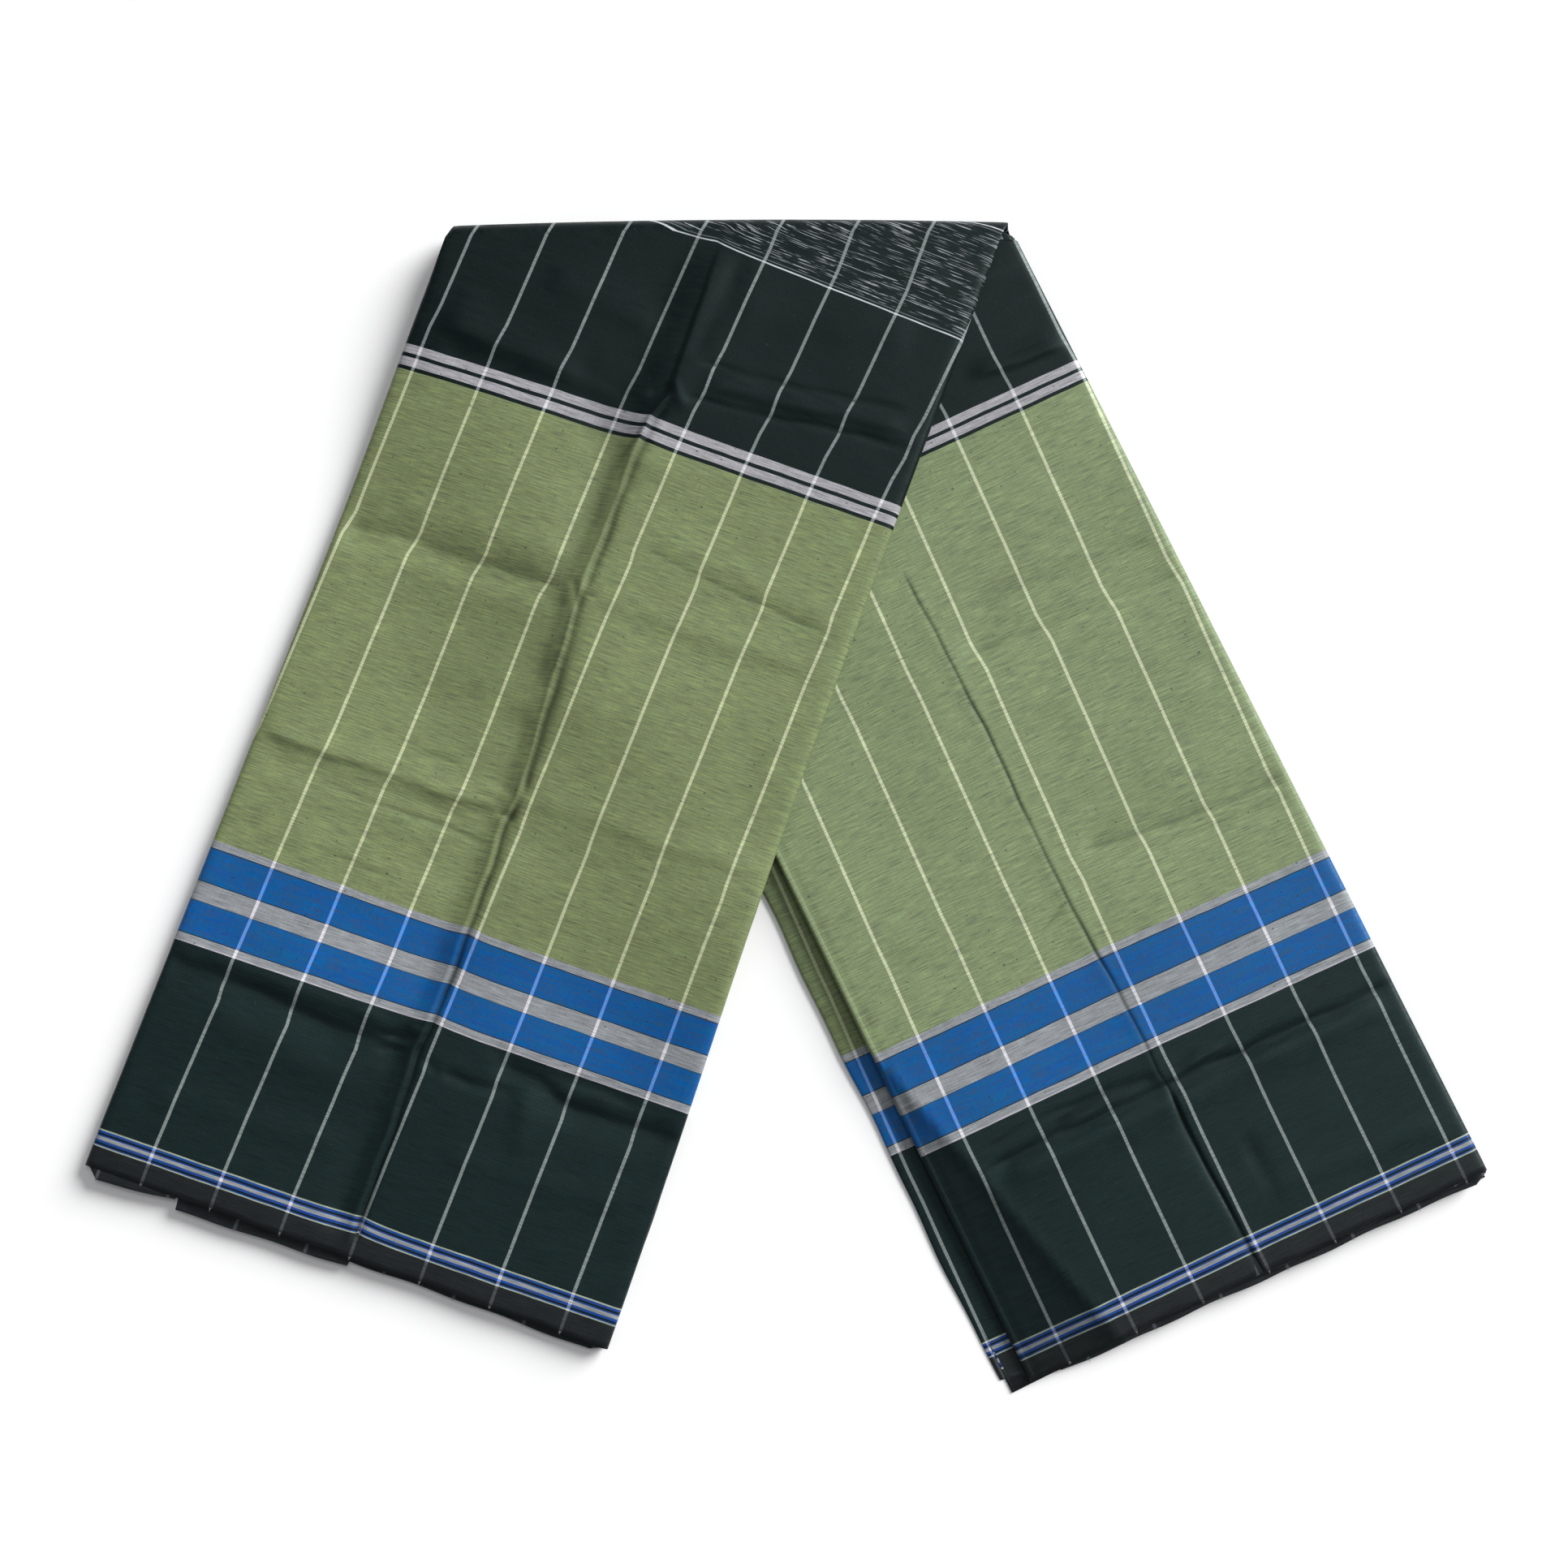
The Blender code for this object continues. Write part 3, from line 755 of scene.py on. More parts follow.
def corner_sag(across: Numbers, distance: Numbers) -> Numbers:
    """Drop of the right leg's near left corner, past its diagonal crease.

    Args:
        across: Fraction across the leg.
        distance: Distance from its hem.

    Returns:
        The drop, which is negative on the crease's own low crest.
    """
    past, corner = past_diagonal(across, distance)
    share = np.clip(past / corner, 0.0, 1.0)
    crest = 0.35 * np.exp(-((past / 3.0) ** 2)) * smooth((200.0 - distance) / 30.0)
    return SAG_DEPTH * share**SAG_POWER - crest


def lift(x: Numbers, y: Numbers) -> Numbers:
    """Height of the left leg's underside, which the right leg's hidden edge holds up.

    Args:
        x: Plan place, in millimetres.
        y: Plan place, in millimetres.

    Returns:
        The height.
    """
    edge_x, edge_y = RIGHT_LEG.far_left
    run_x = RIGHT_LEG.hem_left[0] - edge_x
    run_y = RIGHT_LEG.hem_left[1] - edge_y
    outside = ((x - edge_x) * run_y - (y - edge_y) * run_x) / math.hypot(run_x, run_y)
    return CARRIED * (1.0 - smooth((outside - LIFT_SHELF) / LIFT_RAMP))


@dataclass(frozen=True)
class Rim:
    """Rolled side of a panel: rows of (distance in from the rim, drop)."""

    steps: tuple[tuple[float, float], ...]

    def before(self, width: float) -> list[tuple[float, float]]:
        """Columns from the left rim inwards, without the innermost."""
        return [(inward / width, drop) for inward, drop in self.steps[:-1]]

    @property
    def reach(self) -> float:
        """How far in the rim ends."""
        return self.steps[-1][0]


PRESSED_RIM = Rim(
    (
        (1.5, 4.5), (0.45, 4.1), (0.0, 3.3), (0.1, 2.3), (0.6, 1.3), (1.5, 0.6), (3.0, 0.15),
        (5.5, 0.0),
    )
)
PUFFED_RIM = Rim(
    (
        (1.5, 3.3), (0.4, 2.9), (0.0, 2.1), (0.1, 1.2), (0.5, 0.3), (1.3, -0.1), (3.1, 0.45),
        (3.6, 0.55), (6.5, 0.0),
    )
)


@dataclass(frozen=True)
class Columns:
    """Columns of a panel.

    Attributes:
        across: Fractions across the leg.
        drop: How far each lies under the plain face, at the rolled rims.
    """

    CREASE_COLUMNS = 19

    across: np.ndarray
    drop: np.ndarray

    @classmethod
    def for_panel(cls, leg: Leg, left: Rim, right: Rim, coarse: int, fine: float) -> Columns:
        """Columns with rolled rims, close together about the centre crease.

        Args:
            leg: The leg.
            left: Rim on the left side.
            right: Rim on the right side.
            coarse: Number of intervals on each half away from the crease.
            fine: Half width of the finely divided stretch at the crease, as a fraction.

        Returns:
            The columns from left to right.
        """
        inner_left = left.reach / leg.width
        inner_right = 1.0 - right.reach / leg.width
        close = np.linspace(-1.0, 1.0, cls.CREASE_COLUMNS)
        close = 0.5 + fine * np.sign(close) * np.abs(close) ** 1.25
        first = np.linspace(inner_left, close[0], coarse + 1)[:-1]
        last = np.linspace(close[-1], inner_right, coarse + 1)[1:]
        middle = [(share, 0.0) for share in np.concatenate([first, close, last])]
        after = [(1.0 - share, drop) for share, drop in reversed(right.before(leg.width))]
        rows = left.before(leg.width) + middle + after
        return cls(np.array([share for share, _ in rows]), np.array([drop for _, drop in rows]))


def close_rows(nominal: float, count: int, close: Iterable[tuple[float, float]]) -> np.ndarray:
    """Rows from 0 to a nominal distance, close together over the given stretches.

    Args:
        nominal: Distance of the last row.
        count: Number of rows.
        close: Stretches, each from a start to an end.

    Returns:
        The distances.
    """
    samples = np.linspace(0.0, nominal, 2400)
    density = np.ones_like(samples)
    for start, end in close:
        rise = 1.3 * smooth((samples - start + 6.0) / 6.0)
        density += rise * smooth((end + 6.0 - samples) / 6.0)
    total = np.cumsum(density)
    total = (total - total[0]) / (total[-1] - total[0])
    return np.interp(np.linspace(0.0, 1.0, count), total, samples)


def cloth_shell(
    name: str,
    points: Iterable[np.ndarray],
    pattern: tuple[np.ndarray, np.ndarray],
    painted_shade: np.ndarray,
) -> bpy.types.Object:
    """Grid of cloth that a modifier makes a thin shell.

    Args:
        name: Name of the piece.
        points: Arrays x, y, z in millimetres, rows by columns.
        pattern: Arrays across and along the cloth, in millimetres.
        painted_shade: Array of painted shade, from 0 to 1.

    Returns:
        The piece.
    """
    points = tuple(points)
    rows, columns = painted_shade.shape
    bm = bmesh.new()
    bmesh.ops.create_grid(bm, x_segments=columns - 1, y_segments=rows - 1, size=0.5)
    layer = bm.loops.layers.uv.new("cloth")
    # Painted shade, by which the material darkens the colour
    shade = bm.verts.layers.float.new("painted_shade")
    place = {}
    for vert in bm.verts:
        column = round((vert.co.x + 0.5) * (columns - 1))
        row = round((vert.co.y + 0.5) * (rows - 1))
        place[vert.index] = (row, column)
        vert[shade] = painted_shade[row, column]
        vert.co = [values[row, column] * MM for values in points]
    for face in bm.faces:
        face.smooth = True
        for loop in face.loops:
            row, column = place[loop.vert.index]
            loop[layer].uv = (pattern[0][row, column] * MM, pattern[1][row, column] * MM)
    piece = link_piece(bm, name)
    shell = piece.modifiers.new("Cloth", "SOLIDIFY")
    shell.thickness = CLOTH * MM
    shell.offset = -1.0
    LOG.info("%s: %d points", name, painted_shade.size)
    return piece


class Dressed:
    """A sub-assembly that takes one finish all over."""

    @staticmethod
    def dress(piece: bpy.types.Object, finish: bpy.types.Material) -> None:
        """Give the piece its finish."""
        piece.data.materials.append(finish)


@dataclass(frozen=True)
class OuterLayer(Dressed):
    """Outermost layer: the left leg's face, over the far edge, and the right leg's underside.

    Attributes:
        face_rows: Rows of the face.
        bend_rows: Rows over the far edge.
        under_rows: Rows underneath.
        close: Stretches of creases where the rows lie closer, from and to.
    """

    face_rows: int = 256
    bend_rows: int = 14
    under_rows: int = 50
    close: tuple[tuple[float, float], ...] = (
        (96.0, 124.0), (186.0, 260.0), (350.0, 368.0), (380.0, 398.0), (476.0, 514.0),
    )

    @property
    def columns(self) -> Columns:
        """Columns that run through the whole sheet."""
        return Columns.for_panel(LEFT_LEG, PRESSED_RIM, PRESSED_RIM, 44, 0.042)

    def face(self) -> tuple[np.ndarray, ...]:
        """Rows of the left leg's face: x, y, z, pattern across and along, and painted shade."""
        rows = close_rows(LEFT_LEG.nominal, self.face_rows, self.close)[:, None]
        columns = self.columns
        straight = columns.across
        distance = LEFT_LEG.spread(rows, 0.0, LEFT_LEG.end_distance(straight, BEND_RADIUS))
        # The crease runs out before the bend
        follow = LEFT_MAP.crease_shift(straight, distance) * smooth((575.0 - distance) / 60.0)
        across = straight + follow
        hem_wave = 0.35 * np.sin(straight * 31.0) + 0.25 * np.sin(straight * 12.0)
        distance = distance + hem_wave * smooth(1.0 - distance / 12.0)
        x, y = LEFT_LEG.point(across, distance)
        relief, painted_shade = LEFT_RELIEF.shape_at(LEFT_LEG, across, distance)
        relief = relief * LEFT_LEG.calm(across, y)
        near_bend = smooth((LEFT_LEG.far_point(across)[1] - BEND_RADIUS - y) / 30.0)
        drop = columns.drop[None, :] * mix(BEND_RIM, 1.0, near_bend)
        nearness = smooth(1.0 - drop / 4.0)
        z = lift(x, y) + LEFT_STACK - drop + relief * mix(0.45, 1.0, nearness)
        z = z - 0.5 * smooth(1.0 - distance / 9.0)
        return x, y, z, *LEFT_MAP.pattern(across, distance), painted_shade

    def underside(self) -> tuple[np.ndarray, ...]:
        """Rows of the right leg's underside, from the far edge to its hem, as in face."""
        last = RIGHT_LEG.nominal
        rows = np.linspace(last, 0.0, self.under_rows)[:, None]
        columns = self.columns
        out = SLIVER * smooth(2.0 - 2.0 * rows / last) / RIGHT_LEG.width
        right_side = 1.0 - UNDER_TAPER * smooth(1.0 - rows / UNDER_TAPER_RUN)
        across = mix(-out, right_side, columns.across[None, :])
        start = 0.3 + 0.4 * np.sin(across * 23.0)
        distance = RIGHT_LEG.spread(rows, start, RIGHT_LEG.end_distance(across, BEND_RADIUS))
        x, y = RIGHT_LEG.point(across, distance)
        z = columns.drop[None, :] * BEND_RIM * np.ones_like(distance)
        s, t = RIGHT_MAP.pattern(across, distance)
        return x, y, z, s + 9.0, CLOTH_LENGTH - t, 0.0 * z

    def bend(
        self, face: tuple[np.ndarray, ...], under: tuple[np.ndarray, ...]
    ) -> tuple[np.ndarray, ...]:
        """Rows over the far edge, as in face.

        Args:
            face: Rows of the face.
            under: Rows of the underside.

        Returns:
            The rows from the last of the face to the first underneath, without either.
        """
        turn = np.linspace(0.0, math.pi, self.bend_rows + 2)[1:-1, None]
        share = turn / math.pi
        columns = self.columns
        across = columns.across[None, :]
        left_x, left_y = LEFT_LEG.far_point(across)
        right_x, right_y = RIGHT_LEG.far_point(across)
        back = BEND_RADIUS * (1.0 - np.sin(turn))
        lean = mix(LEFT_LEG.lean(across), RIGHT_LEG.lean(across), share)
        x = mix(left_x, right_x, share) - back * lean
        radius = BEND_RADIUS - BEND_RIM * columns.drop[None, :]
        y = mix(left_y, right_y, share) - BEND_RADIUS + radius * np.sin(turn)
        z = BEND_RADIUS + radius * np.cos(turn)
        s = mix(face[3][-1:], under[3][:1], smooth((share - 0.6) / 0.4))
        t = mix(face[4][-1:], under[4][:1], share)
        return x, y, z, s, t, 0.0 * z

    def build(self) -> bpy.types.Object:
        """Make the piece."""
        face = self.face()
        under = self.underside()
        bend = self.bend(face, under)
        joined = [np.vstack(parts) for parts in zip(face, bend, under)]
        return cloth_shell("outer_layer", joined[:3], (joined[3], joined[4]), joined[5])


@dataclass(frozen=True)
class RightFace(Dressed):
    """Face of the right leg, with its sagging near left corner.

    Attributes:
        rows: Rows from the hem to the far edge.
        close: Stretches of creases where they lie closer, from and to.
    """

    rows: int = 250
    close: tuple[tuple[float, float], ...] = (
        (94.0, 136.0), (204.0, 238.0), (346.0, 360.0), (486.0, 496.0),
    )

    def build(self) -> bpy.types.Object:
        """Make the piece."""
        columns = Columns.for_panel(RIGHT_LEG, PUFFED_RIM, PRESSED_RIM, 38, 0.03)
        rows = close_rows(RIGHT_LEG.nominal, self.rows, self.close)[:, None]
        straight = columns.across
        # The hem is further in on the right, and waves a little
        start = mix(1.2, 3.7, smooth(straight * 3.0))
        start = start + 0.35 * np.sin(straight * 27.0 + 1.0)
        end = RIGHT_LEG.end_distance(straight, BEND_RADIUS + SEAM_GAP)
        distance = RIGHT_LEG.spread(rows, start, end)
        across = straight + RIGHT_MAP.crease_shift(straight, distance)
        x, y = RIGHT_LEG.point(across, distance)
        drop = columns.drop[None, :] * np.ones_like(distance)
        nearness = smooth(1.0 - drop / 4.0)
        relief, painted_shade = RIGHT_RELIEF.shape_at(RIGHT_LEG, across, distance)
        # Shade painted over the sagging corner's facet, past the diagonal crease
        painted_facet_shade = smooth(0.5 + past_diagonal(across, distance)[0] / 2.0)
        painted_shade = np.maximum(painted_shade, FACET_SHADE * painted_facet_shade)
        relief = relief * RIGHT_LEG.calm(across, y) - corner_sag(across, distance)
        z = RIGHT_STACK - drop + relief * mix(0.6, 1.0, nearness)
        z = z - 0.4 * smooth(1.0 - (distance - start) / 9.0)
        pattern = RIGHT_MAP.pattern(across, distance)
        return cloth_shell("right_face_cloth", (x, y, z), pattern, painted_shade)


# Run of each step in a hidden layer's hem, as a fraction across
HEM_STEP_RUN = 0.0035


@dataclass(frozen=True)
class HiddenLayer:
    """One hidden layer in a leg's stack.

    Attributes:
        top: Depth of its upper side under the face.
        bottom: Depth of its lower side.
        left: How far its left fold is inset from the leg's side. Negative stands out.
        right: How far its right fold is inset.
        hem: Rows of (start, end, how far it stands out at the hem at each) as fractions across.
        turn: Offset of its pattern across the cloth, in millimetres.
        slip: Offset of its pattern along the cloth, in millimetres.
        shelf: Rows of (depth, left inset) of its upper side, where that shows past the left side.
    """

    top: float
    bottom: float
    left: float
    right: float
    hem: tuple[tuple[float, float, float, float], ...]
    turn: float
    slip: float = 0.0
    shelf: tuple[tuple[float, float], ...] = ()

    def hem_out(self, across: np.ndarray) -> np.ndarray:
        """How far it stands out at the hem.

        Args:
            across: Fractions across the leg.

        Returns:
            The distances, with the two waves of a hand-folded edge.
        """
        out = np.zeros_like(across)
        for start, end, first, last in self.hem:
            rise = smooth((across - start) / HEM_STEP_RUN)
            fall = smooth((end - across) / HEM_STEP_RUN)
            out = out + mix(first, last, (across - start) / (end - start)) * rise * fall
        wave = 0.35 * np.sin(across * 37.0 + self.turn)
        wave = wave + 0.25 * np.sin(across * 15.0 + 2.0 * self.turn)
        return out + wave


LEFT_LAYERS = (
    HiddenLayer(0.75, 2.1, 2.6, 2.4, ((0.024, 0.18, 5.8, 2.0), (0.18, 0.99, -0.6, -0.6)), 22.6),
    HiddenLayer(
        2.1, 3.4, 1.2, 1.5,
        ((0.03, 0.18, 1.2, 0.6), (0.18, 0.513, 7.2, 4.6), (0.513, 0.99, -0.3, -0.3)), 22.6,
    ),
    HiddenLayer(3.4, 4.6, 0.7, 0.9, ((0.034, 0.985, 0.4, 3.6),), 19.0),
    HiddenLayer(4.6, 5.8, 1.3, 0.4, ((0.034, 0.98, 0.8, 2.4),), 8.0),
    HiddenLayer(5.8, 7.1, 0.5, 1.1, ((0.036, 0.975, 0.3, 3.0),), 14.0),
    HiddenLayer(7.1, 8.45, 1.6, 1.4, ((0.036, 0.98, 0.2, 1.6),), 3.0),
)
RIGHT_LAYERS = (
    HiddenLayer(0.75, 1.9, 3.4, 2.4, ((0.01, 0.99, 0.2, 0.2),), 6.0),
    HiddenLayer(1.9, 3.0, 3.8, 1.4, ((0.055, 0.99, 3.0, 3.6),), 27.9),
    HiddenLayer(3.0, 4.1, 0.9, 0.7, ((0.055, 0.985, 3.3, 4.0),), 27.9),
    HiddenLayer(4.1, 5.2, 1.6, 0.5, ((0.055, 0.985, 2.2, 2.2),), 7.0),
    HiddenLayer(5.2, 6.3, 0.4, 1.2, ((0.055, 0.98, 3.0, 3.0),), 16.0),
    HiddenLayer(
        6.9, 8.3, -13.7, 1.0, ((-0.09, 0.02, -4.7, -4.7), (0.02, 0.975, 0.6, 0.6)), -4.5, -6.4,
        ((6.45, 0.0), (6.75, -1.6), (6.95, -4.0), (6.9, -7.0), (6.75, -10.0), (6.72, -12.4)),
    ),
)
# Each layer's edge bulges: depth as a share of its thickness, and how far back it is there
LAYER_BULGE = ((0.0, 1.3), (0.07, 0.55), (0.25, 0.12), (0.5, 0.0), (0.75, 0.12), (0.93, 0.55))


@dataclass
class LayerStack(Dressed):
    """Hidden layers of one leg, as one closed form with a fold for each layer round its edge.

    Attributes:
        name: Name of the piece.
        leg: The leg.
        layers: Its hidden layers, from the top down.
        cloth_map: Where the woven pattern lies.
        relief: Creases of the face above.
        hem_inset: How far its hem is in from the leg's hem line.
        slab_radius: Radius of its rounded far edge, inside the outer layer's bend.
        corner_back: How much further its corners stay back there.
        cap_sink: How far its top lies under its rim, clear of the face's narrow creases.
        columns: Fractions across.
        rows: Nominal distances from the hem.
    """

    name: str
    leg: Leg
    layers: tuple[HiddenLayer, ...]
    cloth_map: ClothMap
    relief: Relief
    hem_inset: float
    slab_radius: float = 7.75
    corner_back: float = 5.0
    cap_sink: float = 1.7
    columns: np.ndarray = field(init=False)
    rows: np.ndarray = field(init=False)

    def __post_init__(self) -> None:
        """Place the columns, some of them at the steps of the hems, and the rows."""
        inner = 5.5 / self.leg.width
        ends = {value for layer in self.layers for row in layer.hem for value in row[:2]}
        inside = sorted(value for value in ends if 0.1 < value < 0.9)
        shifts = (-1.0, -0.5, 0.0, 0.5, 1.0)
        steps = [value + shift * HEM_STEP_RUN for value in inside for shift in shifts]
        plain = np.linspace(inner, 1.0 - inner, 88)
        self.columns = np.unique(np.concatenate((plain, steps)))
        self.rows = np.linspace(0.0, self.leg.nominal, 150)

    def far_inset(self, depth: float) -> float:
        """Inset at the far edge, inside the outer layer's bend."""
        carried = CARRIED if self.leg is LEFT_LEG else 0.0
        away = abs(carried + self.leg.stack - depth - BEND_RADIUS)
        return BEND_RADIUS - math.sqrt(max(0.0, self.slab_radius**2 - away**2))

    def place(
        self,
        layer: HiddenLayer,
        depth: float,
        back: float,
        i: np.ndarray,
        j: np.ndarray,
        left_inset: float | None = None,
    ) -> tuple[np.ndarray, ...]:
        """Points and pattern at arrays of columns and rows.

        Args:
            layer: The hidden layer that the points belong to.
            depth: Depth under the face.
            back: How far the edge is set back there, in the layer's bulge.
            i: Numbers of the columns. The first is the left fold, and the last the right fold.
            j: Numbers of the rows. The first is the hem.
            left_inset: Left inset of a shelf's row, instead of the layer's own.

        Returns:
            Arrays x, y, z, pattern across and pattern along.
        """
        leg, rows = self.leg, self.rows[j]
        left_side, right_side = i == 0, i == len(self.columns) - 1
        inset_left = layer.left if left_inset is None else left_inset - back
        fade = smooth(2.0 - 2.0 * rows / leg.nominal) if inset_left < 0.0 else 1.0
        stray = 0.5 * np.sin(rows / 23.0 + layer.turn) + 0.3 * np.sin(rows / 9.0 + 2.0 * layer.turn)
        left = (inset_left * fade + back + stray) / leg.width
        right = 1.0 - (layer.right + back + 0.7 * stray) / leg.width
        across = np.where(right_side, right, np.where(left_side, left, self.columns[i]))
        inset = self.far_inset(depth) + np.where(left_side | right_side, self.corner_back, 0.0)
        start = self.hem_inset - layer.hem_out(across) + np.where(j == 0, back, 0.0)
        distance = leg.spread(rows, start, leg.end_distance(across, inset))
        x, y = leg.point(across, distance)
        share = min(1.0, max(0.0, (leg.stack - depth) / (leg.stack - 1.5)))
        inside = np.clip(across, 0.0, 1.0)
        relief = self.relief.broad_height(leg, inside, distance) * leg.calm(across, y)
        to_side = np.minimum(inside, 1.0 - inside) * leg.width
        relief = relief * mix(0.4, 1.0, smooth(to_side / 9.0))
        if leg is LEFT_LEG:
            z = leg.stack - depth + share * relief + lift(x, y)
        else:
            z = leg.stack - depth + share * (relief - corner_sag(inside, distance))
        s, t = self.cloth_map.pattern(across, distance)
        t = t + layer.hem_out(across) * smooth(1.0 - distance / 30.0)
        return x, y, z, s + layer.turn, t + layer.slip

    def build(self) -> bpy.types.Object:
        """Make the piece."""
        last_column = len(self.columns) - 1
        last_row = len(self.rows) - 1
        border = [(i, 0) for i in range(last_column)]
        border += [(last_column, j) for j in range(last_row)]
        border += [(i, last_row) for i in range(last_column, 0, -1)]
        border += [(0, j) for j in range(last_row, 0, -1)]
        index_i = np.array([i for i, _ in border])
        index_j = np.array([j for _, j in border])
        bm = bmesh.new()
        uv_of = {}

        def add_points(
            layer: HiddenLayer,
            depth: float,
            back: float,
            i: np.ndarray = index_i,
            j: np.ndarray = index_j,
            left_inset: float | None = None,
        ) -> list[bmesh.types.BMVert]:
            """Add a vertex at each pair of column and row, or round the border.

            Args:
                layer: The hidden layer, as in place, which takes the other arguments too.
                depth: Depth under the face.
                back: How far the edge is set back.
                i: Numbers of the columns.
                j: Numbers of the rows.
                left_inset: Left inset of a shelf's row.

            Returns:
                The vertices, in order.
            """
            made = []
            for x, y, z, s, t in zip(*self.place(layer, depth, back, i, j, left_inset)):
                vert = bm.verts.new((x * MM, y * MM, z * MM))
                uv_of[vert] = (s * MM, t * MM)
                made.append(vert)
            return made

        rings = []
        for layer in self.layers:
            for depth, inset in layer.shelf:
                rings.append((layer, add_points(layer, depth, 1.0, left_inset=inset)))
            for share, back in LAYER_BULGE[1:] if layer.shelf else LAYER_BULGE:
                depth = mix(layer.top, layer.bottom, share)
                rings.append((layer, add_points(layer, depth, back)))
        bottom = self.layers[-1]
        rings.append((bottom, add_points(bottom, bottom.bottom, LAYER_BULGE[0][1])))
        # A strip between two layers is the top of the lower one, and takes that one's pattern
        turned = {}
        for (above, upper), (below, lower) in zip(rings, rings[1:]):
            offset = Vector(((below.turn - above.turn) * MM, (below.slip - above.slip) * MM))
            for k, vert in enumerate(upper):
                after = (k + 1) % len(upper)
                face = bm.faces.new((vert, lower[k], lower[after], upper[after]))
                if below is not above:
                    turned[face] = ((vert, upper[after]), offset)
        inner_i, inner_j = np.arange(1, last_column), np.arange(1, last_row)
        grid_i, grid_j = (part.ravel() for part in np.meshgrid(inner_i, inner_j, indexing="ij"))
        clear = smooth((grid_j - 2.0) / 4.0) * smooth((last_row - 2.0 - grid_j) / 4.0)
        caps = ((rings[0], self.layers[0].top, self.cap_sink), (rings[-1], bottom.bottom, 0.0))
        for (layer, ring), depth, sink in caps:
            grid = dict(zip(border, ring))
            inner = add_points(layer, depth, 0.0, grid_i, grid_j)
            for vert, share in zip(inner, clear):
                vert.co.z -= sink * share * MM
            grid.update(zip(zip(grid_i.tolist(), grid_j.tolist()), inner))
            for i in range(last_column):
                for j in range(last_row):
                    corners = ((i, j), (i + 1, j), (i + 1, j + 1), (i, j + 1))
                    bm.faces.new([grid[corner] for corner in corners])
        bmesh.ops.recalc_face_normals(bm, faces=bm.faces)
        uv_layer = bm.loops.layers.uv.new("cloth")
        for face in bm.faces:
            face.smooth = True
            upper, offset = turned.get(face, ((), None))
            for loop in face.loops:
                loop[uv_layer].uv = uv_of[loop.vert]
                if loop.vert in upper:
                    loop[uv_layer].uv += offset
        piece = link_piece(bm, self.name)
        LOG.info("%s: %d faces", self.name, len(piece.data.polygons))
        return piece


@dataclass(frozen=True)
class TuftRow:
    """Cut ends of the pale crossing yarns along one hem edge.

    Attributes:
        leg: The leg it is on.
        cloth_map: Where its lines lie.
        start: First fraction across that shows.
        end: Last one.
        inset: Distance of the edge, or of the stack's edge under it, from the hem line.
        layer: The hidden layer that it ends, or none on the face.
    """

    leg: Leg
    cloth_map: ClothMap
    start: float
    end: float
    inset: float
    layer: HiddenLayer | None = None

    def ends(self) -> Iterator[tuple[int, float, float, float]]:
        """Places of the yarn ends, as (number, fraction across, distance, height)."""
        turn, depth = 0.0, 0.4
        if self.layer:
            turn, depth = self.layer.turn, 0.5 * (self.layer.top + self.layer.bottom)
        for number in range(-1, 10):
            across = self.cloth_map.line_fraction(number - turn / LINE_PITCH, 10.0)
            if self.start < across < self.end:
                out = float(self.layer.hem_out(np.array(across))) if self.layer else 0.0
                yield number, across, self.inset - out, self.leg.stack - depth


TUFT_ROWS = (
    TuftRow(LEFT_LEG, LEFT_MAP, 0.05, 0.99, 0.3),
    TuftRow(LEFT_LEG, LEFT_MAP, 0.026, 0.17, 0.4, LEFT_LAYERS[0]),
    TuftRow(LEFT_LEG, LEFT_MAP, 0.19, 0.50, 0.4, LEFT_LAYERS[1]),
    TuftRow(LEFT_LEG, LEFT_MAP, 0.53, 0.97, 0.4, LEFT_LAYERS[2]),
    TuftRow(RIGHT_LEG, RIGHT_MAP, 0.03, 0.99, 3.2),
    TuftRow(RIGHT_LEG, RIGHT_MAP, 0.06, 0.98, 3.5, RIGHT_LAYERS[2]),
)


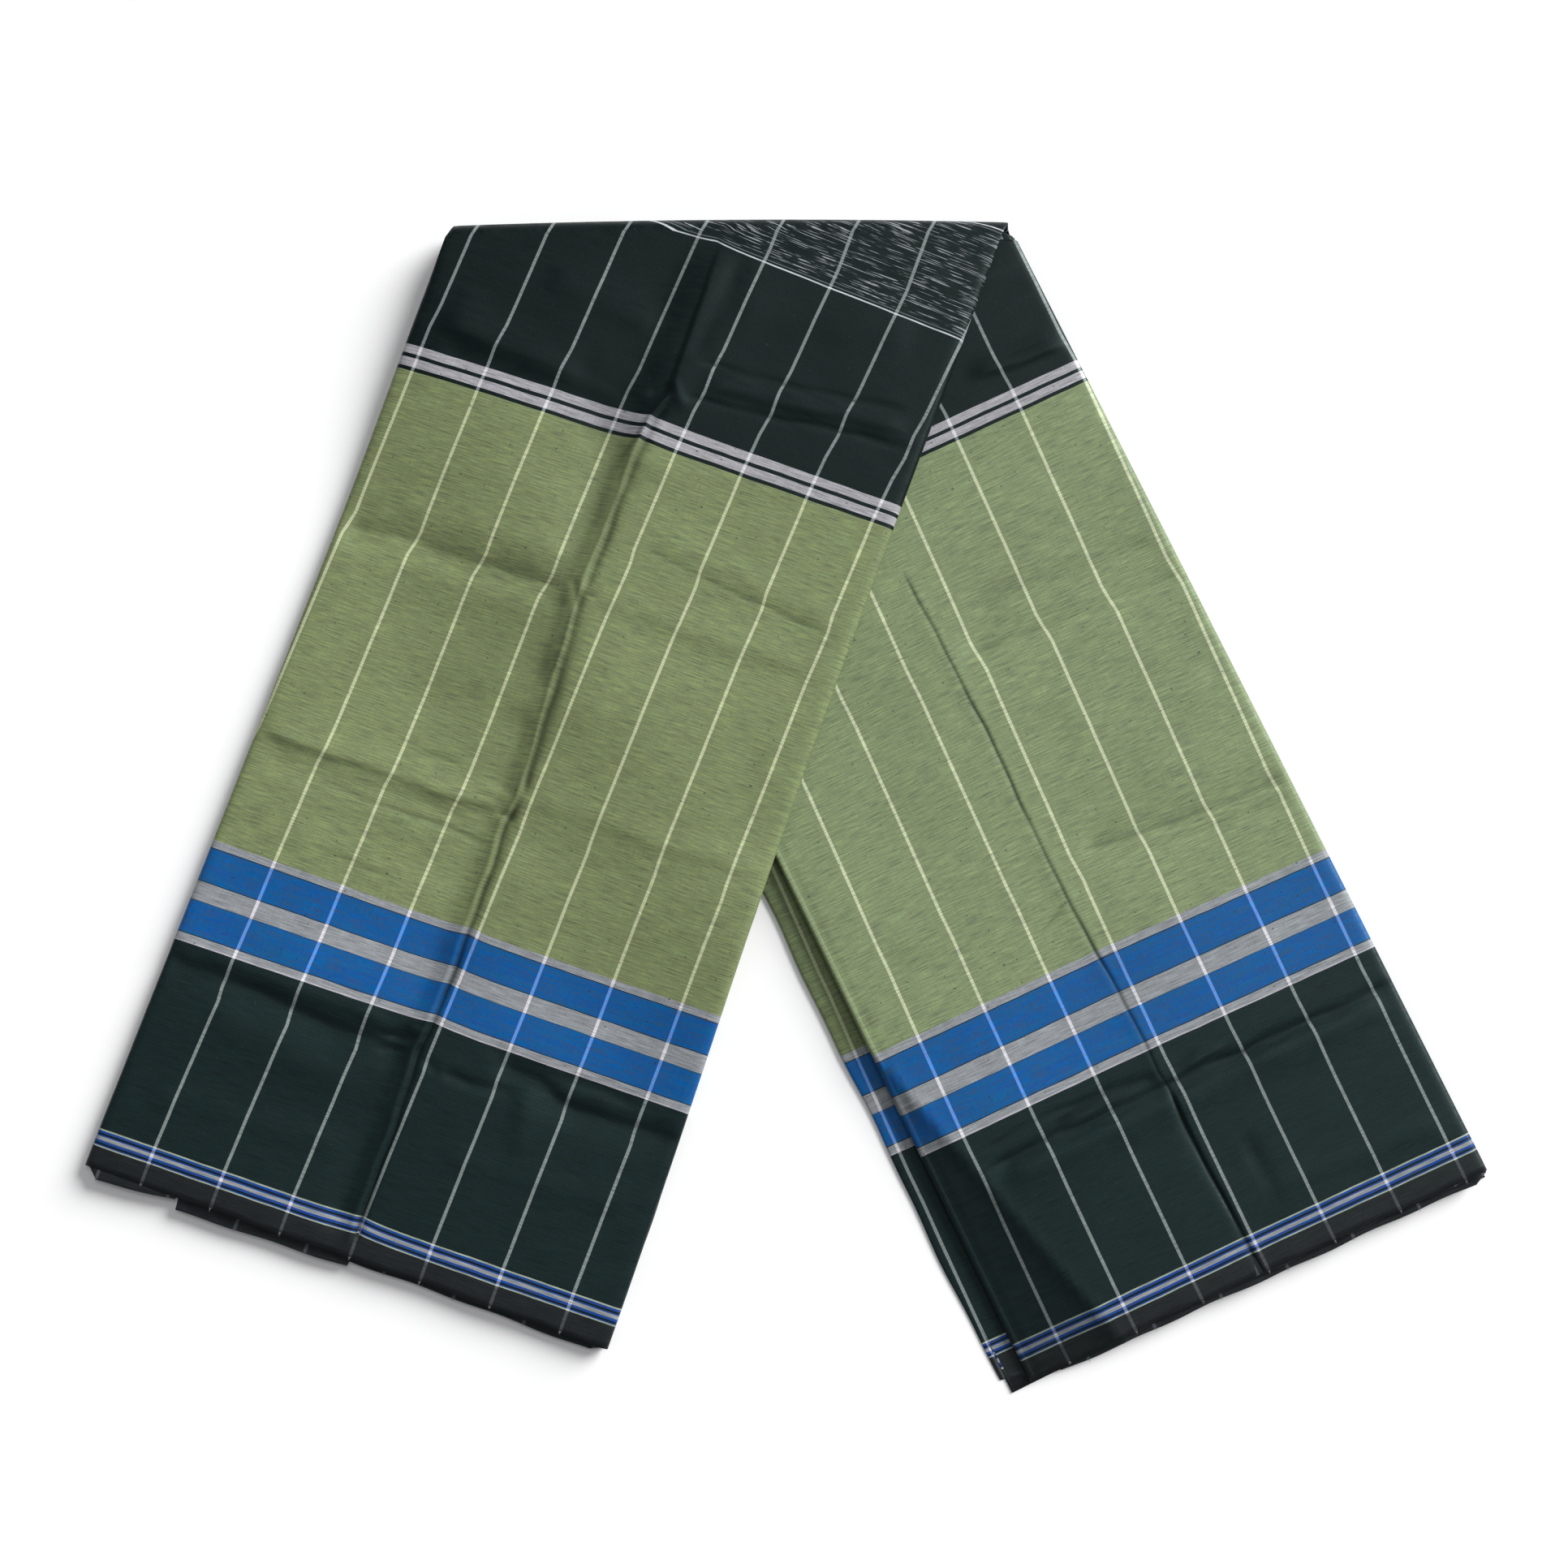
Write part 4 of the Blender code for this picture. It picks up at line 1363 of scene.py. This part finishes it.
@dataclass(frozen=True)
class WeftTufts(Dressed):
    """Short fibres where the pale crossing yarns end at the selvedges.

    Attributes:
        radius: Thickness of a fibre at its root, in millimetres.
        fibres: Rows of (offset beside the yarn's middle, length, sideways lean).
    """

    radius: float = 0.085
    fibres: tuple[tuple[float, float, float], ...] = (
        (-0.28, 1.3, -0.35), (0.0, 1.9, 0.08), (0.3, 1.0, 0.45),
    )

    def build(self) -> bpy.types.Object:
        """Make the piece."""
        bm = bmesh.new()
        for row in TUFT_ROWS:
            for number, across, distance, height in row.ends():
                self.add_tuft(bm, row.leg, number, across, distance, height)
        piece = link_piece(bm, "weft_tufts")
        LOG.info("weft tufts: %d faces", len(piece.data.polygons))
        return piece

    def add_tuft(
        self,
        bm: bmesh.types.BMesh,
        leg: Leg,
        number: int,
        across: float,
        distance: float,
        height: float,
    ) -> None:
        """Add three fibres that lean apart.

        Args:
            bm: The mesh that they join.
            leg: The leg they are on.
            number: Number of the pale line, which varies their lengths.
            across: Fraction across the leg.
            distance: Distance from its hem line.
            height: Height over what the leg lies on.
        """
        x, y = leg.point(across, distance)
        ahead_x, ahead_y = leg.point(across, distance - 10.0)
        out = Vector((float(ahead_x - x), float(ahead_y - y), -1.2)).normalized()
        beside = Vector((-out.y, out.x, 0.0)).normalized()
        base = Vector((float(x), float(y), height + float(lift(x, y)) * (leg is LEFT_LEG)))
        for k, (offset, length, lean) in enumerate(self.fibres):
            length *= 0.8 + 0.35 * ((number * 7 + k * 3) % 5) / 4.0
            direction = (out + beside * lean * (1.0 if number % 2 else -1.0)).normalized()
            middle = base + beside * offset + direction * (0.5 * length - 0.4)
            turn = direction.to_track_quat("Z", "Y").to_matrix().to_4x4()
            bmesh.ops.create_cone(
                bm,
                cap_ends=True,
                cap_tris=True,
                segments=6,
                radius1=self.radius * MM,
                radius2=0.35 * self.radius * MM,
                depth=length * MM,
                matrix=Matrix.Translation(middle * MM) @ turn,
            )


# Each yarn's colour in the warp, and where a pale yarn crosses it
BORDER = ("#1e1f22", "#696b70")
DARK = ("#111d1f", "#7e8786")
DEEP = ("#080f11", "#7d8584")
BLACK_YARN = ("#0e141b", "#6b7078")
DARK_YARN = ("#1b2632", "#8a93a8")
HEM_BLUE = ("#1b4088", "#7c8fd0")
PALE = ("#979f8c", "#d2d0ce")
LIGHT = ("#898c8e", "#d0ced2")
BLUE = ("#0f508f", "#6590da")
GREY = ("#8b8e92", "#d8d6dc")
DOUBLE = ("#9d9ba0", "#d3d1d6")
IKAT_EDGE = ("#b9bcc0", "#d8d8dc")
HIGHLIGHT = ("#aaa6b0", "#e0dee2")
IKAT_LINE = ("#5d6466", "#9a9ea0")


@dataclass(frozen=True)
class Region:
    """Stretch of the pattern with its own colour ramp.

    Attributes:
        low: Its start, in millimetres from the selvedge.
        high: Its end.
        bands: Rows of (start, colours).
    """

    low: float
    high: float
    bands: tuple[tuple[float, Shades], ...]


def regions(green: Shades) -> tuple[Region, ...]:
    """Bands from the selvedge to the middle of the cloth.

    Args:
        green: Colours of the green ground, in the warp and under a pale crossing yarn.

    Returns:
        The stretches that have bands, in order.
    """
    hem = (
        (0.0, BORDER), (11.7, PALE), (12.4, HEM_BLUE), (13.0, BLACK_YARN), (14.1, HEM_BLUE),
        (15.4, LIGHT), (17.3, HEM_BLUE), (18.0, BLACK_YARN), (19.1, HEM_BLUE), (20.3, PALE),
        (21.1, DARK),
    )
    blues = (
        (120.0, DARK), (125.0, HIGHLIGHT), (125.6, GREY), (129.4, DARK_YARN), (129.8, BLUE),
        (147.1, DARK_YARN), (147.5, GREY), (157.4, DARK_YARN), (157.8, BLUE), (175.4, DARK_YARN),
        (175.8, GREY), (180.0, green),
    )
    border = (
        (446.0, green), (450.0, DEEP), (452.0, DOUBLE), (456.5, DEEP), (458.5, DOUBLE),
        (463.0, DEEP),
    )
    edge = ((562.0, DEEP), (567.0, IKAT_EDGE), (567.8, DEEP), (569.0, IKAT_LINE), (569.5, DEEP))
    return (
        Region(0.0, 25.6, hem),
        Region(120.0, 184.0, blues),
        Region(446.0, 471.6, border),
        Region(562.0, 574.8, edge),
    )


Socket = bpy.types.NodeSocket
Value = float | Colour | tuple[float, float, float] | Socket


class Nodes:
    """Node tree of one material that is being built."""

    def __init__(self, name: str) -> None:
        """Start a material with its shader."""
        self.material = bpy.data.materials.new(name)
        self.material.use_nodes = True
        self.tree = self.material.node_tree
        self.shader = self.tree.nodes["Principled BSDF"]

    def feed(self, socket: Socket, value: Value) -> None:
        """Set a socket to a value, or link it to another node's output."""
        if isinstance(value, Socket):
            self.tree.links.new(value, socket)
        else:
            socket.default_value = value

    def add(
        self,
        kind: str,
        inputs: dict[int | str, Value] | None = None,
        out: int | str = 0,
        **settings: str,
    ) -> Socket:
        """Add a node with its settings and links.

        Args:
            kind: Kind of node, without the prefix that all share.
            inputs: Value or other node's output for each input, by its number or name.
            out: Number or name of the output that is wanted.
            **settings: The node's own settings.

        Returns:
            The output.
        """
        node = self.tree.nodes.new("ShaderNode" + kind)
        for key, value in settings.items():
            setattr(node, key, value)
        for key, value in (inputs or {}).items():
            self.feed(node.inputs[key], value)
        return node.outputs[out]


def set_bands(ramp: bpy.types.ColorRamp, region: Region, which: int) -> None:
    """Give a colour ramp hard-edged bands.

    Args:
        ramp: The ramp, as new.
        region: The bands.
        which: 0 for the warp, 1 for the warp under a pale crossing yarn.
    """
    ramp.interpolation = "CONSTANT"
    ramp.elements.remove(ramp.elements[1])
    for k, (start, shades) in enumerate(region.bands):
        place = (start - region.low) / (region.high - region.low)
        element = ramp.elements[0] if k == 0 else ramp.elements.new(place)
        element.position = place
        element.color = colour(shades[which])


@dataclass(frozen=True)
class WovenCotton:
    """Yarn-dyed plain-weave cotton.

    Real cloth: fine cotton with bands in the warp and a pale weft yarn every 38 mm. It gives the
    eye short uneven streaks along the bands, a dry matt face where it is pale, and a soft sheen
    where it is nearly black. Its threads are 0.3 mm apart, and are drawn about twice as coarse, so
    that they show.

    Attributes:
        name: Name of the material.
        green: Colours of the green ground.
        tone: Brightness of the dye.
        streak: How much single yarns differ from it, up and down.
        roughness: Lowest and highest roughness, where the cloth is rubbed smooth and where not.
    """

    name: str
    green: Shades
    tone: float = 0.95
    streak: float = 0.42
    roughness: tuple[float, float] = (0.32, 0.62)

    def build(self) -> bpy.types.Material:
        """Make the material."""
        nodes = Nodes(self.name)
        add = nodes.add
        uv = add("UVMap", uv_map="cloth")
        split = add("SeparateXYZ", {0: uv}).node
        across, along = split.outputs[0], split.outputs[1]
        mirrored = add("Math", {0: CLOTH_LENGTH * MM, 1: along}, operation="SUBTRACT")
        nearest = add("Math", {0: along, 1: mirrored}, operation="MINIMUM")
        # Band edges stray by 0.3 mm, over cells of 18 mm
        ragged = self.stray(nodes, self.noise(nodes, uv, (55.0, 55.0, 1.0), 2.0, 0.5), 0.0006)
        distance = add("Math", {0: nearest, 1: ragged}, operation="ADD")
        warp, crossed = self.bands(nodes, distance)
        line = self.lines(nodes, uv, across, distance)
        base = add("Mix", {0: line, 6: warp, 7: crossed}, 2, data_type="RGBA")
        base = self.melange(nodes, uv, base)
        base = self.dashes(nodes, uv, base, distance)
        # The painted crease shade goes on last
        nodes.feed(nodes.shader.inputs["Base Color"], self.painted_crease_shade(nodes, base))
        self.surface(nodes, uv)
        return nodes.material

    @staticmethod
    def noise(
        nodes: Nodes, uv: Socket, scale: tuple[float, float, float], detail: float, rough: float
    ) -> Socket:
        """Stretched noise over the cloth.

        Args:
            nodes: The node tree.
            uv: Place on the cloth, in metres.
            scale: Cells for each metre across the cloth, along it and up.
            detail: Finer layers of noise that are added.
            rough: Share that each of them has of the one before.

        Returns:
            Output from 0 to 1.
        """
        mapped = nodes.add("Mapping", {0: uv, 3: scale})
        inputs = {"Vector": mapped, "Scale": 1.0, "Detail": detail, "Roughness": rough}
        return nodes.add("TexNoise", inputs)

    @staticmethod
    def stray(nodes: Nodes, value: Socket, reach: float) -> Socket:
        """Noise as an offset to both sides, over a reach in all."""
        centred = nodes.add("Math", {0: value, 1: 0.5}, operation="SUBTRACT")
        return nodes.add("Math", {0: centred, 1: reach}, operation="MULTIPLY")

    def bands(self, nodes: Nodes, distance: Socket) -> list[Socket]:
        """Colours of the bands.

        Args:
            nodes: The node tree.
            distance: Distance from the selvedge, in metres.

        Returns:
            Colour of the warp, and of the same warp under a pale crossing yarn.
        """
        parts = regions(self.green)
        results = []
        for which in (0, 1):
            shade = None
            for k, part in enumerate(parts):
                limits = {1: part.low * MM, 2: part.high * MM, 3: 0.0, 4: 1.0}
                position = nodes.add("MapRange", {0: distance, **limits})
                ramp = nodes.add("ValToRGB", {0: position})
                set_bands(ramp.node.color_ramp, part, which)
                if k == 0:
                    shade = ramp
                    continue
                switch = 0.5 * (parts[k - 1].high + part.low) * MM
                share = nodes.add("Math", {0: distance, 1: switch}, operation="GREATER_THAN")
                shade = nodes.add("Mix", {0: share, 6: shade, 7: ramp}, 2, data_type="RGBA")
            results.append(shade)
        return results

    def lines(self, nodes: Nodes, uv: Socket, across: Socket, distance: Socket) -> Socket:
        """Mask of the pale crossing yarns.

        Args:
            nodes: The node tree.
            uv: Place on the cloth, in metres.
            across: Its part across the cloth.
            distance: Distance from the selvedge.

        Returns:
            1 on a yarn and 0 beside it.
        """
        add = nodes.add
        turns = add("Math", {0: across, 1: LINE_PITCH * MM}, operation="DIVIDE")
        # Whole turns keep it positive, and the half puts each line in the middle of its turn
        shifted = add("Math", {0: turns, 1: 100.5}, operation="ADD")
        phase = add("Math", {0: shifted}, operation="FRACT")
        centred = add("Math", {0: phase, 1: 0.5}, operation="SUBTRACT")
        away = add("Math", {0: centred}, operation="ABSOLUTE")
        edge = self.stray(nodes, self.noise(nodes, uv, (260.0, 240.0, 1.0), 2.0, 0.6), 0.006)
        half = 0.5 * LINE_WIDTH / LINE_PITCH
        reached = add("Math", {0: away, 1: edge}, operation="ADD")
        mask = add("MapRange", {0: reached, 1: half - 0.0028, 2: half + 0.0028, 3: 1.0, 4: 0.0})
        # They are hardly seen in the near-black selvedge, up to 10 mm from the edge
        hem = add("MapRange", {0: distance, 1: 0.0102, 2: 0.0125, 3: 0.36, 4: 0.9})
        return add("Math", {0: mask, 1: hem}, operation="MULTIPLY")

    def melange(self, nodes: Nodes, uv: Socket, base: Socket) -> Socket:
        """Streaks of uneven dye along the bands, and small slubs.

        Args:
            nodes: The node tree.
            uv: Place on the cloth, in metres.
            base: Colour of the plain bands and lines.

        Returns:
            The colour with both.
        """
        low, high = self.tone - self.streak, self.tone + self.streak
        # Yarns 12 mm by 0.6 mm, patches of them, crossing yarns, and clouds of 60 mm
        streak = self.noise(nodes, uv, (85.0, 1650.0, 1.0), 4.0, 0.62)
        patch = self.noise(nodes, uv, (26.0, 320.0, 1.0), 3.0, 0.6)
        weft = self.noise(nodes, uv, (1500.0, 120.0, 1.0), 2.0, 0.5)
        cloud = self.noise(nodes, uv, (16.0, 22.0, 1.0), 2.0, 0.5)
        value = nodes.add("MapRange", {0: streak, 1: 0.3, 2: 0.7, 3: low, 4: high})
        for part, swing in ((patch, 0.05), (weft, 0.07), (cloud, 0.06)):
            limits = {1: 0.3, 2: 0.7, 3: 1.0 - swing, 4: 1.0 + swing}
            factor = nodes.add("MapRange", {0: part, **limits})
            value = nodes.add("Math", {0: value, 1: factor}, operation="MULTIPLY")
        hue = nodes.add("MapRange", {0: patch, 1: 0.3, 2: 0.7, 3: 0.49, 4: 0.506})
        saturation = nodes.add("MapRange", {0: streak, 1: 0.28, 2: 0.72, 3: 0.82, 4: 1.18})
        inputs = {"Hue": hue, "Saturation": saturation, "Value": value, "Color": base}
        tinted = nodes.add("HueSaturation", inputs)
        # Slubs: rare dark knots in the yarn, 2 mm long
        slub = self.noise(nodes, uv, (420.0, 520.0, 1.0), 0.0, 0.5)
        spots = nodes.add("MapRange", {0: slub, 1: 0.80, 2: 0.84, 3: 0.0, 4: 0.55})
        inputs = {0: spots, 6: tinted, 7: colour("#20282e")}
        return nodes.add("Mix", inputs, 2, data_type="RGBA")

    def dashes(self, nodes: Nodes, uv: Socket, base: Socket, distance: Socket) -> Socket:
        """Resist-dyed broken dashes of the middle band.

        Args:
            nodes: The node tree.
            uv: Place on the cloth, in metres.
            base: Colour without them.
            distance: Distance from the selvedge.

        Returns:
            The colour with them.
        """
        add = nodes.add
        wave = self.stray(nodes, self.noise(nodes, uv, (45.0, 12.0, 1.0), 1.0, 0.5), 0.0006)
        shifted = add("CombineXYZ", {0: 0.0, 1: wave, 2: 0.0})
        bent = add("VectorMath", {0: uv, 1: shifted}, operation="ADD")
        # Dashes of 0.6 mm yarn, 25 mm long, with gaps every 11 mm
        thread = self.noise(nodes, bent, (40.0, 1750.0, 1.0), 1.0, 0.5)
        gap = self.noise(nodes, uv, (90.0, 420.0, 1.0), 2.0, 0.6)
        mask = add("MapRange", {0: thread, 1: 0.565, 2: 0.615, 3: 0.0, 4: 1.0})
        open_share = add("MapRange", {0: gap, 1: 0.44, 2: 0.54, 3: 0.02, 4: 0.74})
        mask = add("Math", {0: mask, 1: open_share}, operation="MULTIPLY")
        inside = add("Math", {0: distance, 1: 0.5702}, operation="GREATER_THAN")
        share = add("Math", {0: mask, 1: inside}, operation="MULTIPLY")
        return add("Mix", {0: share, 6: base, 7: colour("#a9adb2")}, 2, data_type="RGBA")

    @staticmethod
    def painted_crease_shade(nodes: Nodes, base: Socket) -> Socket:
        """Shade painted into the creases, darkening the colour by an attribute of the mesh.

        Args:
            nodes: The node tree.
            base: Colour without it.

        Returns:
            The colour with it.
        """
        painted_shade = nodes.add("Attribute", out="Fac", attribute_name="painted_shade")
        share = nodes.add("Math", {0: painted_shade, 1: 0.62}, operation="MULTIPLY")
        # Near-black towards which the painted shade darkens the colour
        inputs = {0: share, 6: base, 7: colour("#060a0b")}
        return nodes.add("Mix", inputs, 2, data_type="RGBA")

    def surface(self, nodes: Nodes, uv: Socket) -> None:
        """Set the roughness, the sheen and the weave's bump.

        Args:
            nodes: The node tree.
            uv: Place on the cloth, in metres.
        """
        add, inputs = nodes.add, nodes.shader.inputs
        inputs["Metallic"].default_value = 0.0
        inputs["Specular IOR Level"].default_value = 0.26
        inputs["Specular Tint"].default_value = colour("#c4e4dc")
        # Rubbed streaks of 21 mm by 4 mm
        rubbed = self.noise(nodes, uv, (48.0, 260.0, 1.0), 5.0, 0.7)
        low, high = self.roughness
        rough = add("MapRange", {0: rubbed, 1: 0.3, 2: 0.7, 3: low, 4: high})
        nodes.feed(inputs["Roughness"], rough)
        # Warp and weft threads, 0.4 mm wide and 3 mm long
        warp = self.noise(nodes, uv, (300.0, 2600.0, 1.0), 2.0, 0.6)
        weft = self.noise(nodes, uv, (2600.0, 300.0, 1.0), 2.0, 0.6)
        warp = add("Math", {0: warp, 1: 0.6}, operation="MULTIPLY")
        weft = add("Math", {0: weft, 1: 0.4}, operation="MULTIPLY")
        weave = add("Math", {0: warp, 1: weft}, operation="ADD")
        bump = add("Bump", {"Strength": 0.55, "Distance": 0.00022, "Height": weave})
        nodes.feed(inputs["Normal"], bump)


@dataclass(frozen=True)
class FleckedFinish:
    """Dry matt finish whose colour changes a little from place to place.

    Attributes:
        name: Name of the material.
        low: Darker colour.
        high: Paler colour.
        scale: Cells of the change for each metre.
        limits: Noise values at which it is all the darker and all the paler colour.
        fuzz: Strength of its fine bump, or 0 for none.
    """

    name: str
    low: str
    high: str
    scale: float
    limits: tuple[float, float]
    fuzz: float = 0.0

    def build(self) -> bpy.types.Material:
        """Make the material."""
        nodes = Nodes(self.name)
        inputs = nodes.shader.inputs
        place = nodes.add("TexCoord", out="Object")
        fleck = nodes.add("TexNoise", {"Vector": place, "Scale": self.scale, "Detail": 2.0})
        limits = {1: self.limits[0], 2: self.limits[1], 3: 0.0, 4: 1.0}
        share = nodes.add("MapRange", {0: fleck, **limits})
        shades = {0: share, 6: colour(self.low), 7: colour(self.high)}
        nodes.feed(inputs["Base Color"], nodes.add("Mix", shades, 2, data_type="RGBA"))
        inputs["Roughness"].default_value = 0.9
        if self.fuzz:
            bump = {"Strength": self.fuzz, "Distance": 0.0001, "Height": fleck}
            nodes.feed(inputs["Normal"], nodes.add("Bump", bump))
        return nodes.material


# Cut ends of undyed cotton yarn: off-white, dry and fibrous, with flecks of 0.4 mm
RAW_YARN = FleckedFinish("raw_yarn", "#73776f", "#a9aca4", 2600.0, (0.35, 0.65), 0.4)
# Seamless paper floor: near-white and matt, with a hardly visible unevenness
STUDIO_FLOOR = FleckedFinish("studio_floor", "#f3f3f3", "#f6f6f6", 3.0, (0.3, 0.7))


@dataclass(frozen=True)
class Lamp:
    """Large distant soft light.

    Attributes:
        name: Name of the light.
        azimuth: Degrees from +X towards +Y.
        elevation: Degrees over the floor.
        strength: Strength of the light.
        angle: How wide it looks from the floor, in degrees.
    """

    name: str
    azimuth: float
    elevation: float
    strength: float
    angle: float

    def build(self, scene: bpy.types.Scene) -> None:
        """Add the light.

        Args:
            scene: The scene that it belongs to.
        """
        data = bpy.data.lights.new(self.name, "SUN")
        data.energy = self.strength
        data.angle = math.radians(self.angle)
        light = bpy.data.objects.new(self.name, data)
        azimuth = math.radians(self.azimuth)
        elevation = math.radians(self.elevation)
        flat = math.cos(elevation)
        towards = Vector((flat * math.cos(azimuth), flat * math.sin(azimuth), math.sin(elevation)))
        light.location = towards * 3.0
        light.rotation_euler = towards.to_track_quat("Z", "Y").to_euler()
        scene.collection.objects.link(light)


@dataclass(frozen=True)
class Studio:
    """Camera, floor and light.

    Attributes:
        tilt: How far the camera is tipped from straight down, in degrees.
        camera_distance: Distance from the camera to the target, in metres.
        target: Plan point that it looks at.
        key: Main light, low enough to draw the creases.
        sheen: Weak light from above, for the gloss of the near-black cotton.
        world: Strength of the light from all round.
    """

    tilt: float = 8.0
    camera_distance: float = 1.1494
    target: tuple[float, float] = (-0.0017, 0.0018)
    key: Lamp = Lamp("key", 36.0, 27.0, 5.2, 34.0)
    sheen: Lamp = Lamp("sheen", 50.0, 72.0, 0.42, 18.0)
    world: float = 0.26

    def build(self) -> None:
        """Set up the camera, the floor and the lights."""
        scene = bpy.context.scene
        scene.view_settings.view_transform = "Standard"
        self.camera(scene)
        self.floor()
        self.key.build(scene)
        self.sheen.build(scene)
        world = scene.world or bpy.data.worlds.new("studio")
        scene.world = world
        world.use_nodes = True
        background = world.node_tree.nodes["Background"]
        background.inputs[0].default_value = colour("#fbfcff")
        background.inputs[1].default_value = self.world

    def camera(self, scene: bpy.types.Scene) -> None:
        """Put the camera above the garment, tipped a little towards its near side.

        Args:
            scene: The scene that it belongs to.
        """
        lens = bpy.data.cameras.new("camera")
        lens.lens = 50.0
        lens.sensor_width = 36.0
        camera = bpy.data.objects.new("camera", lens)
        scene.collection.objects.link(camera)
        tilt = math.radians(self.tilt)
        reach = self.camera_distance
        x, y = self.target
        camera.location = (x, y - reach * math.sin(tilt), reach * math.cos(tilt))
        camera.rotation_euler = (tilt, 0.0, 0.0)
        scene.camera = camera

    @staticmethod
    def floor() -> None:
        """Plain floor, far wider than the view and just under the garment."""
        bm = bmesh.new()
        bmesh.ops.create_grid(bm, x_segments=8, y_segments=8, size=40.0)
        floor = link_piece(bm, "floor")
        floor.location = (0.0, 0.0, -0.0002)
        floor.data.materials.append(STUDIO_FLOOR.build())


def main() -> None:
    """Build the dressed garment and its studio."""
    logging.basicConfig(level=logging.INFO, format="%(name)s: %(message)s")
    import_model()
    Studio().build()

    # The two legs are one cloth: the right leg's paler green is painted sheen, and the hidden
    # layers take a darker green
    left_cotton = WovenCotton("left_cotton", ("#77825b", "#bbc29d")).build()
    right_cotton_painted_sheen = WovenCotton("right_cotton_painted_sheen", ("#7c8965", "#c1c8a7")).build()
    inner_cotton = WovenCotton("inner_cotton", ("#6d7955", "#abb38c")).build()

    outer = OuterLayer().build()
    OuterLayer.dress(outer, left_cotton)
    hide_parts("left_face", "top_bend", "right_underside")

    right = RightFace().build()
    RightFace.dress(right, right_cotton_painted_sheen)
    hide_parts("right_face")

    left_stack = LayerStack(
        "left_layers", LEFT_LEG, LEFT_LAYERS, LEFT_MAP, LEFT_RELIEF, hem_inset=0.4
    ).build()
    LayerStack.dress(left_stack, inner_cotton)
    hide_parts("left_inner_layers")

    right_stack = LayerStack(
        "right_layers", RIGHT_LEG, RIGHT_LAYERS, RIGHT_MAP, RIGHT_RELIEF, hem_inset=3.5
    ).build()
    LayerStack.dress(right_stack, inner_cotton)
    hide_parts("right_inner_layers")

    tufts = WeftTufts().build()
    WeftTufts.dress(tufts, RAW_YARN.build())

    for piece in (outer, right, left_stack, right_stack, tufts):
        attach(piece, "root")


if __name__ == "__main__":
    main()
